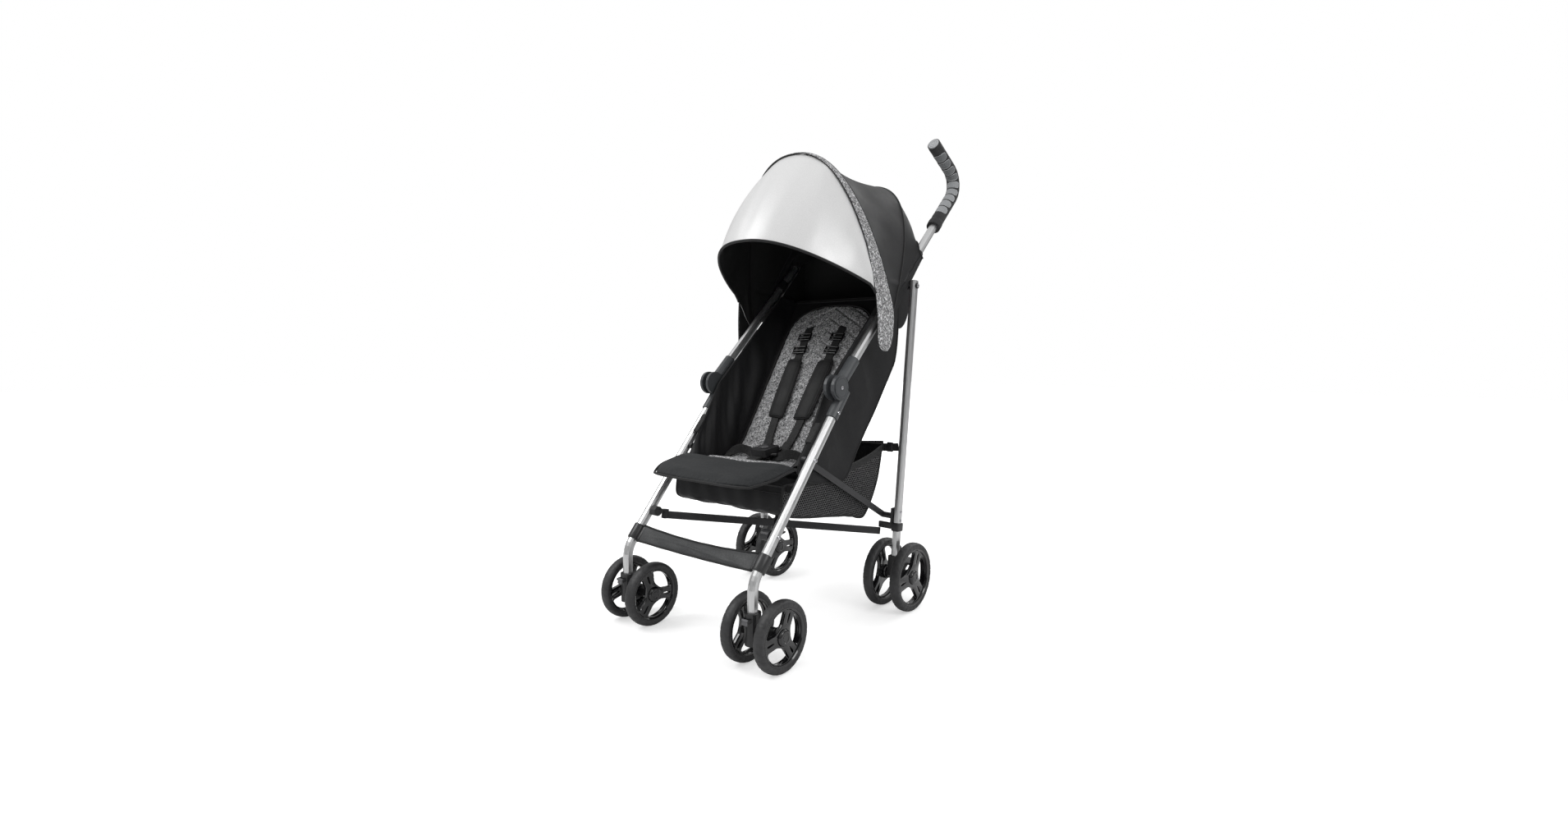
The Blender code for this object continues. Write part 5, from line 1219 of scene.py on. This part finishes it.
def puffed(piece, voxel, cap):
    """Even mesh, then air pressure in the cloth solver, no point moving further than cap."""
    only(piece)
    piece.data.remesh_voxel_size = voxel
    bpy.ops.object.voxel_remesh()
    rest = [v.co.copy() for v in piece.data.vertices]
    cloth = piece.modifiers.new("cloth", "CLOTH")
    cloth.settings.use_pressure = True
    cloth.settings.uniform_pressure_force = 4.0
    cloth.settings.effector_weights.gravity = 0.0
    cloth.settings.quality = 5
    cloth.point_cache.frame_start = 1
    cloth.point_cache.frame_end = 20
    for frame_number in range(1, 21):
        bpy.context.scene.frame_set(frame_number)
    only(piece)
    bpy.ops.object.modifier_apply(modifier="cloth")
    for vertex, start in zip(piece.data.vertices, rest):
        move = vertex.co - start
        if move.length > cap:
            vertex.co = start + move * (cap / move.length)
    bpy.context.scene.frame_set(1)
    finer = piece.modifiers.new("finer", "SUBSURF")
    finer.levels = finer.render_levels = 1
    return applied(piece)


def seat_place(point):
    """(metres along the seat, height over its cloth) of a point."""
    at = Vector((point.y + MIDDLE, point.z))
    best = None
    for k, (a, b) in enumerate(zip(SEAT_LINE, SEAT_LINE[1:])):
        a, b = Vector(a), Vector(b)
        run = b - a
        f = min(max((at - a).dot(run) / run.length_squared, 0.0), 1.0)
        gap = at - (a + run * f)
        if best is None or gap.length < best[0]:
            best = (gap.length, seat_runs[k] + run.length * f, gap.dot(Vector((-run.y, run.x)).normalized()))
    return best[1], best[2]


def seat_up_at(s):
    """The direction away from the cloth, s metres along the seat."""
    last = len(SEAT_LINE) - 1
    for k in range(last):
        if s <= seat_runs[k + 1]:
            return seat_up((k + (s - seat_runs[k]) / (seat_runs[k + 1] - seat_runs[k])) / last)
    return seat_up(1.0)


CLEAR = 0.0004
CHEVRON_PITCH = 0.034


def quilted(piece):
    """Keeps a pad off the sling, and presses chevron channels, peaks in the middle, into its top."""
    for vertex in piece.data.vertices:
        s, height = seat_place(vertex.co)
        if height < CLEAR:
            vertex.co += seat_up_at(s) * (CLEAR - height)
        elif height >= 0.004:
            phase = (s + abs(vertex.co.x) * 0.62) / CHEVRON_PITCH % 1
            near = abs(phase - 0.5) * CHEVRON_PITCH
            deep = 0.0042 * math.exp(-((near / 0.0030) ** 2)) * min(1.0, height / 0.009)
            vertex.co -= seat_up_at(s) * deep
    return piece


def around(long, wide):
    """(u, v) steps all the way round a sheet's edge."""
    return ([(k / long, 0.0) for k in range(long + 1)] + [(1.0, k / wide) for k in range(1, wide + 1)]
            + [(1 - k / long, 1.0) for k in range(1, long + 1)] + [(0.0, 1 - k / wide) for k in range(1, wide)])


for name, low, high, round_top, body, node in (
    ("seat_pad_quilt", 0.030, 0.415, 0.0, "seat", "seat_pad"),
    ("backrest_pad_quilt", 0.430, 0.985, 0.24, "backrest", "backrest_pad"),
):

    def pad_at(u, v, lift):
        across = 2 * v - 1
        far = 1 - (1 - math.sqrt(max(0.0, 1 - abs(across) ** 2.6))) * round_top * 0.55
        narrow = 1 - 0.02 * math.sin(math.pi * u)
        return seat_at(low + (high - low) * u * far, 0.1265 * across * narrow, lift)

    def crown(u, v):
        edge = min(1, (1 - abs(2 * v - 1)) * 5, u * 9, (1 - u) * 9)
        return pad_at(u, v, 0.0050 + 0.0035 * math.sin(max(edge, 0) * math.pi / 2))

    pad = quilted(puffed(closed_sheet(40, 50, crown, lambda u, v: pad_at(u, v, 0.0010)), 0.005, 0.0040))
    hung(smoothed(pad, 180), name, heather, body, "heather_grey", node)
    edge = bound([pad_at(u, v, 0.0036) for u, v in around(40, 40)], 0.0024, name + "_binding", body, closed=True)
    fold_flat(pad, edge)

# Leg rest.
# A charcoal pad reaches forward from the seat, its front corners rounded, piped along its edge and
# gathered by the stitching.


def leg_rest_point(u, v, side):
    """The leg rest's upper (side 1), middle (0) or lower (-1) face, from its front edge back."""
    across = 2 * v - 1
    corner = 1 - 0.16 * max(0.0, 1 - u * 2.2) ** 1.6
    x = 0.168 * across * corner
    y = 0.1175 - (0.126 - 0.014 * abs(across) ** 5) * (1 - u)
    z = 0.3665 - 0.026 * (1 - u) ** 1.3
    edge = math.sin(min(1, (1 - abs(across)) * 6, u * 6, (1 - u) * 8) * math.pi / 2)
    half = (0.004 + 0.0105 * edge) / 2
    return on_side(x, (y, z + side * half))


rest_pad = puffed(closed_sheet(30, 60, lambda u, v: leg_rest_point(u, v, 1), lambda u, v: leg_rest_point(u, v, -1)),
                  0.005, 0.0045)
edge_points = [leg_rest_point(u, v, 0) for u, v in around(30, 50)]
for vertex in rest_pad.data.vertices:
    near, at = min(((vertex.co - p).length, k) for k, p in enumerate(edge_points))
    if near < 0.030:
        vertex.co.z += 0.0010 * math.sin(at * 2.1 + 0.8 * math.sin(at * 0.7)) * math.exp(-((near / 0.012) ** 2))
    vertex.co.z += 0.0008 * math.sin(vertex.co.x * 38 + 3 * math.sin(vertex.co.y * 60))
hung(smoothed(rest_pad, 180), "leg_rest_pad", charcoal, "seat", "charcoal_cloth", "leg_rest")
rest_edge = bound(edge_points, 0.0026, "leg_rest_piping", "seat", "charcoal_cloth", closed=True)

# How the seat's cloth is cut and hung.
# The sling, its back, the underside and the two side panels are cut from one roll, sewn edge to
# edge and hung by the tabs.
cut, area = laid_flat(sling_point)
back_cut, back_area = laid_flat(back_point)
for piece, place in ((under, under_low), (back_under, under_high)):
    cut, area = laid_flat(place)
for panel in panels:
    cut, area = laid_flat(panel_point)
fold_flat(sling, sling_back, under, back_under, *panels, hems, top_roll, tabs, rest_pad, rest_edge)

# Harness.
# Nylon webbing with slide adjusters and padded shoulder sleeves, a waist strap that loops forward,
# a crotch strap, and a buckle with two tongues and a round glossy button.


def strap_between(line, half, thick, rows):
    """Flat webbing along line(t) -> (place, up), reaching half to each side, with rounded edges."""
    places = [line(k / rows) for k in range(rows + 1)]
    ring = [(-1, -0.5), (-0.93, 0.5), (-0.5, 0.62), (0, 0.66), (0.5, 0.62), (0.93, 0.5), (1, -0.5), (0, -0.5)]
    count = len(ring)
    points, faces = [], []
    for k, (place, up) in enumerate(places):
        ahead = places[min(k + 1, rows)][0] - places[max(k - 1, 0)][0]
        across = ahead.cross(up.normalized()).normalized()
        up = across.cross(ahead).normalized()
        points += [place + across * (a * half) + up * (b * thick) for a, b in ring]
    for first in range(0, rows * count, count):
        for j in range(count):
            after = (j + 1) % count
            faces.append((first + j, first + after, first + count + after, first + count + j))
    faces += [tuple(range(count)), tuple(reversed(range(rows * count, (rows + 1) * count)))]
    return smoothed(turned_out(from_points(points, [], faces)), 50)


def over_seat(u, x, lift):
    """A place over the seat's cloth, and which way is up from it."""
    place = seat_at(u, x, lift)
    return place, seat_at(u, x, lift + 0.01) - place


WAIST = 0.31
straps, shoulders, sleeves, adjusters, hard = [], [], [], [], []
for sign in (1, -1):

    def shoulder(t):
        u = 0.335 + 0.605 * t
        x = sign * (0.016 + 0.036 * t**0.7)
        lift = 0.0136 + 0.0035 * math.sin(math.pi * min(1.0, t * 1.1)) - 0.009 * step(0.94, 1.0, t)
        return over_seat(u, x, lift)

    shoulders.append(strap_between(shoulder, 0.0115, 0.0018, 90))

    def double(t):
        u = 0.335 + 0.20 * t
        x = sign * (0.016 + 0.014 * t)
        return over_seat(u, x, 0.0162 + 0.0012 * math.sin(9 * t))

    shoulders.append(strap_between(double, 0.0115, 0.0016, 30))

    def waist(t):
        """From the buckle out to the side, standing up off the pad in a loop."""
        x = sign * (0.020 + 0.108 * t)
        rise = 0.016 * math.sin(math.pi * t) ** 1.2
        u = WAIST - 0.004 + 0.018 * math.sin(math.pi * t * 0.9) + 0.012 * t
        lean = 0.35 + 0.9 * math.sin(math.pi * t)
        return seat_at(u, x, 0.0145 + rise), seat_up(u) + (seat_at(0.5, x, 0) - seat_at(0.6, x, 0)).normalized() * lean

    straps.append(strap_between(waist, 0.0105, 0.0018, 50))
    for u, x in ((0.885, 0.0500), (0.848, 0.0485)):
        middle, up = over_seat(u, sign * x, 0.0182)
        ahead = (seat_at(u + 0.01, sign * (x + 0.0012), 0) - seat_at(u - 0.01, sign * x, 0)).normalized()
        across = ahead.cross(up).normalized() * 0.0175
        for y in (-0.0090, -0.0015, 0.0090):
            adjusters.append(piping([middle - across + ahead * y, middle + across + ahead * y], 0.0024))
        for end in (-across, across):
            adjusters.append(piping([middle + end - ahead * 0.0100, middle + end + ahead * 0.0100], 0.0026))

    def sleeve(u, v):
        """A padded cover wound round the strap: u along it, v round it."""
        at = 0.655 + 0.165 * u
        x = sign * (0.0385 + 0.0085 * u)
        turn = FULL_TURN * v
        end = math.sin(min(1.0, u * 9, (1 - u) * 9) * math.pi / 2)
        half = (0.0215 + 0.0025 * math.sin(math.pi * u)) * (0.93 + 0.07 * end)
        round_x = math.copysign(abs(math.cos(turn)) ** 0.75, math.cos(turn))
        round_z = math.copysign(abs(math.sin(turn)) ** 0.9, math.sin(turn))
        lift = 0.0188 + round_z * (0.0026 + 0.0038 * end)
        lift += 0.0006 * math.sin(26 * u + 3 * round_x) * end * max(0.0, round_z)
        if not 0.03 < u < 0.97:
            half *= 0.98
        return seat_at(at + 0.0015 * round_x * sign, x + half * round_x, lift)

    made = tube_skin(60, 40, sleeve)
    open_edges(made)
    bpy.ops.mesh.edge_face_add()
    sleeves.append(smoothed(turned_out(made), 60))
    for u in (0.035, 0.965):
        ring = [sleeve(u, k / 40) for k in range(40)]
        middle = sum(ring, Vector()) / 40
        ring = [middle + (p - middle) * 1.03 for p in ring]
        sleeves.append(piping(ring, 0.0012, closed=True))
    seam_line = [sleeve(k / 40, 0.0 if sign > 0 else 0.5) for k in range(2, 39)]
    sleeves.append(piping(seam_line, 0.0014))


def crotch(t):
    lift = 0.0140 + 0.0050 * math.sin(math.pi * t) ** 2
    return over_seat(WAIST - 0.185 + 0.165 * t, 0.0, lift - 0.007 * (1 - step(0.0, 0.10, t)))


straps.append(strap_between(crotch, 0.0150, 0.0022, 40))
harness = hung(joined(*straps), "harness_webbing", webbing, "seat", "nylon_black", "harness")
shoulders = hung(joined(*shoulders), "harness_shoulder_straps", webbing, "backrest", "nylon_black")
adjusters = hung(joined(*adjusters), "harness_adjusters", gloss_black, "backrest", "black_plastic")
sleeves = hung(joined(*sleeves), "harness_sleeves", lining, "backrest", "nylon_black")

BUCKLE_AT = seat_at(WAIST, 0, 0.0247)
BUCKLE_UP = seat_up(WAIST).normalized()
BUCKLE_RUN = (seat_at(WAIST + 0.01, 0, 0) - seat_at(WAIST - 0.01, 0, 0)).normalized()


def on_buckle(x, run, up):
    """A place on the buckle: across it, along the seat, and up from it."""
    return BUCKLE_AT + Vector((x, 0, 0)) + BUCKLE_RUN * run + BUCKLE_UP * up


for sign in (1, -1):
    for x, w in ((0.0125, 0.0030), (0.0205, 0.0022)):
        hard.append(piping([on_buckle(sign * x * (1 - 0.25 * k / 8), 0.024 + 0.026 * k / 8, 0.004 + 0.0012 * k / 8)
                            for k in range(9)], w))
    hard.append(piping([on_buckle(sign * (0.0045 + 0.0016 * k), 0.0500 + 0.0010 * math.sin(k), 0.0048)
                        for k in range(11)], 0.0026))
    hard.append(piping([on_buckle(sign * (0.0215 + 0.0025 * k), -0.004 + 0.0012 * k, 0.002) for k in range(6)], 0.0042))
hard = hung(joined(*hard), "harness_hardware", gloss_black, "seat", "black_plastic")
fold_flat(harness, shoulders, adjusters, sleeves, hard)
finished(nodes["buckle_button"].data, gloss_black)
finished(nodes["buckle"].data, satin_black)


def buckle_shell(v, u):
    """The buckle's upper cover, crowned round the button: u across, v along."""
    a, b = 2 * u - 1, 2 * v - 1
    wide = 0.0215 * (1 - 0.16 * max(0.0, b) ** 2 + 0.04 * math.cos(b * 3))
    square = (abs(a) ** 4 + abs(b) ** 4) ** 0.25 / max(abs(a), abs(b), 1e-6)
    a, b = a / max(square, 1e-6), b / max(square, 1e-6)
    x, run = a * wide, b * 0.0262
    r = math.hypot(x, run)
    top = 0.0080 + 0.0016 * (1 - max(abs(a), abs(b)) ** 4) - 0.0066 * max(abs(a), abs(b)) ** 14
    if r < 0.0160:
        top -= 0.0010 * (1 - step(0.0140, 0.0160, r))
    if r < 0.0119:
        scale = 0.0119 / max(r, 1e-6)
        x, run = x * scale, run * scale
        top -= 0.0014
    return on_buckle(x, run, top)


cover = mapped_grid(60, 60, buckle_shell)
edited(cover)
bpy.ops.mesh.remove_doubles(threshold=0.00005)
bpy.ops.mesh.dissolve_degenerate()
bpy.ops.mesh.select_mode(type="FACE")
bpy.ops.mesh.select_all(action="DESELECT")
bpy.ops.object.mode_set(mode="OBJECT")
for face in cover.data.polygons:
    away = face.center - BUCKLE_AT
    face.select = (away - BUCKLE_UP * away.dot(BUCKLE_UP)).length < 0.0112
bpy.ops.object.mode_set(mode="EDIT")
bpy.ops.mesh.delete(type="FACE")
bpy.ops.object.mode_set(mode="OBJECT")
hung(smoothed(walled(cover, 0.0012), 50), "buckle_cover", satin_black, "buckle_lift", "black_plastic")

# Basket.
# A black nylon sling between the legs, its front panel plain, with a knotted net on each side, bound
# hems and a strap with a buckle at each rear corner.
BASKET_LINE = [
    (0.085, 0.335), (0.0791, 0.3054), (0.080, 0.280), (0.0984, 0.2668), (0.130, 0.2588), (0.1772, 0.2511),
    (0.230, 0.2444), (0.2794, 0.2372), (0.324, 0.2308), (0.3569, 0.2207), (0.385, 0.222), (0.4149, 0.2551),
    (0.440, 0.300), (0.4535, 0.3425), (0.463, 0.386),
]
BASKET_HALF = 0.1580


def basket_point(u, v):
    """The basket's cloth, from the front hem (u = 0) under and up to the rear hem (1)."""
    across = 2 * v - 1
    at = through(BASKET_LINE, u)
    ahead = (through(BASKET_LINE, min(u + 0.01, 1)) - through(BASKET_LINE, max(u - 0.01, 0))).normalized()
    inward = Vector((-ahead.y, ahead.x))
    crumple = 0.0016 * math.sin(14 * v + 9 * u) * math.sin(math.pi * u) + 0.0010 * math.sin(37 * v - 16 * u)
    crumple *= 1 - abs(across) ** 6
    lift = 0.0018 + crumple + 0.0035 * (1 - across**2) * math.sin(math.pi * u) ** 0.5
    lift += 0.004 * abs(across) ** 8
    return on_side(across * BASKET_HALF, at + inward * lift)


basket = sheeted(mapped_grid(120, 110, basket_point), "basket_cloth", (nylon,), 0.0014, "seat",
                 "nylon_black", "basket", inside=on_side(0, (0.26, 0.34)))
NET_TOP = [(0.463, 0.386), (0.400, 0.366), (0.311, 0.349), (0.200, 0.338), (0.085, 0.335)]
net_outline = [(place.y + MIDDLE, place.z) for place in run_over(basket_point, 60, v=1.0)]
net_outline += [tuple(through(NET_TOP, k / 30)) for k in range(1, 30)]


def inside_loop(y, z, loop):
    """Whether (y, z) lies inside a closed loop of points."""
    hit = False
    for (ay, az), (by, bz) in zip(loop, loop[1:] + loop[:1]):
        if (az > z) != (bz > z) and y < (by - ay) * (z - az) / (bz - az) + ay:
            hit = not hit
    return hit


def net_bulge(y, z):
    """How far out the net hangs at (y, z)."""
    middle = math.exp(-(((y - 0.29) / 0.16) ** 2 + ((z - 0.29) / 0.05) ** 2))
    return BASKET_HALF - 0.0012 + 0.0010 * middle


CELL = 0.0037
CELL_SQUASH = 0.86
meshes, corners = [], {}
for row in range(-30, 31):
    for column in range(-70, 71):
        y = 0.27 + column * CELL * 1.732 + (row % 2) * CELL * 0.866
        z = 0.30 + row * CELL * 1.5 * CELL_SQUASH
        if not inside_loop(y, z, net_outline):
            continue
        hexagon = []
        for angle in map(math.radians, range(30, 390, 60)):
            corner = (round(y + CELL * math.cos(angle), 5), round(z + CELL * CELL_SQUASH * math.sin(angle), 5))
            hexagon.append(corners.setdefault(corner, len(corners)))
        meshes.append(hexagon)
net = from_points([on_side(net_bulge(*corner), corner) for corner in corners], [], meshes)
bpy.ops.mesh.select_mode(type="FACE")
bpy.ops.mesh.select_all(action="SELECT")
bpy.ops.mesh.remove_doubles(threshold=0.0002)
bpy.ops.mesh.inset(thickness=0.00085, use_individual=True)
bpy.ops.mesh.delete(type="FACE")
bpy.ops.object.mode_set(mode="OBJECT")
walled(net, 0.0009)
nets = [hung(copied(net, mirror=side == "left"), f"basket_net_{side}", net_cord, "seat", "nylon_black")
        for side in ("right", "left")]
bpy.data.objects.remove(net)

cords = []
tape_x = net_bulge(0.2, 0.33) + 0.0002
for sign in (1, -1):
    cords.append(piping([on_side(sign * net_bulge(*p), p) for p in net_outline], 0.0026, closed=True))
    cords.append(strap_between(lambda t: (on_side(sign * tape_x, through(NET_TOP, t) - Vector((0, 0.006))),
                                          Vector((sign, 0, 0))), 0.0080, 0.0016, 30))
for u, seam_u in ((0.0, 0.035), (1.0, 0.965)):
    cords.append(piping(run_over(basket_point, 40, u=u), 0.0034))
    cords.append(piping(run_over(basket_point, 40, u=seam_u), 0.0010))
hem = hung(joined(*cords), "basket_hems", binding, "seat", "nylon_black")

ties, tie_buckles = [], []
for sign in (1, -1):
    ties.append(strap_between(lambda t: (on_side(sign * (0.156 + 0.044 * t), (0.4638 - 0.002 * t, 0.380 + 0.004 * t)),
                                         Vector((0, 1, 0.1))), 0.0095, 0.0018, 12))
    ties.append(strap_between(lambda t: (on_side(sign * (0.156 + 0.020 * t), (0.098, 0.329)),
                                         Vector((0, -1, 0.3))), 0.0070, 0.0018, 12))
    tie_buckles.append(smoothed(block((0.0150, 0.0055, 0.0230), sign * 0.1760, (0.4632, 0.3820), 0.0016), 40))
ties.append(strap_between(lambda t: (on_side(-0.156 + 0.312 * t, (0.4655, 0.3860 - 0.008 * math.sin(math.pi * t))),
                                     Vector((0, 1, 0))), 0.0095, 0.0018, 40))
ties = hung(joined(*ties), "basket_ties", webbing, "seat", "nylon_black")
tie_buckles = hung(joined(*tie_buckles), "basket_tie_buckles", satin_black, "seat", "black_plastic")
cut, area = laid_flat(basket_point)
fold_flat(basket, *nets, hem, ties, tie_buckles)

# Footrest.
# A creased grey strap with black bound edges is sewn round a lug on a moulded clamp at each end,
# and the clamps grip the front legs.
FOOTREST_AT = (-0.0073, 0.2025)
leg_run, leg_face = along(LEG_TURN), Vector((-math.sin(LEG_TURN), math.cos(LEG_TURN)))
strap_grey = woven("footrest_strap", (0.030, 0.031, 0.032), (0.075, 0.077, 0.079), 0.50, 1200, 0.12, 0.0004)


def footrest_point(u, v):
    """u across the stroller, v up the strap; it sags and creases in the middle."""
    x = 0.172 * (2 * u - 1)
    middle = 1 - (2 * u - 1) ** 2
    w = 2 * v - 1
    at = Vector(FOOTREST_AT) + leg_run * (w * (0.0185 - 0.0030 * middle))
    at += leg_face * (0.0022 - 0.0035 * middle * w * w)
    crease = 0.0012 * math.exp(-((w + 0.25 - 0.4 * math.sin(5 * u)) / 0.16) ** 2) * math.sin(math.pi * u)
    at += leg_face * (crease + 0.0006 * math.sin(31 * u + 2 * w)) - Vector((0, 0.0045 * middle))
    return on_side(x, at)


footrest = sheeted(mapped_grid(24, 120, footrest_point), "footrest_strap", (strap_grey,), 0.0026,
                   "seat", "nylon_black", "footrest", inside=on_side(0, (0.3, 0.0)))
cords = [piping(run_over(footrest_point, 80, v=v), 0.0022) for v in (0.0, 1.0)]
footrest_edge = hung(joined(*cords), "footrest_binding", binding, "seat", "nylon_black")
for side, sign in (("right", 1), ("left", -1)):
    clamp = spun([(-0.0175, 0.0109), (-0.0175, 0.0132), (-0.0150, 0.0138), (0.0150, 0.0138), (0.0175, 0.0132),
                  (0.0175, 0.0109)], 48)
    smoothed(along_tube(clamp, sign * TUBE_X, FOOTREST_AT, leg_run))
    lug = smoothed(block((0.0120, 0.0330, 0.0062), sign * 0.1720, FOOTREST_AT, 0.0016, LEG_TURN), 40)
    hung(joined(clamp, lug), f"footrest_clamp_{side}", satin_black, f"front_{side}", "black_plastic")
cut, area = laid_flat(footrest_point)
fold_flat(footrest, footrest_edge)
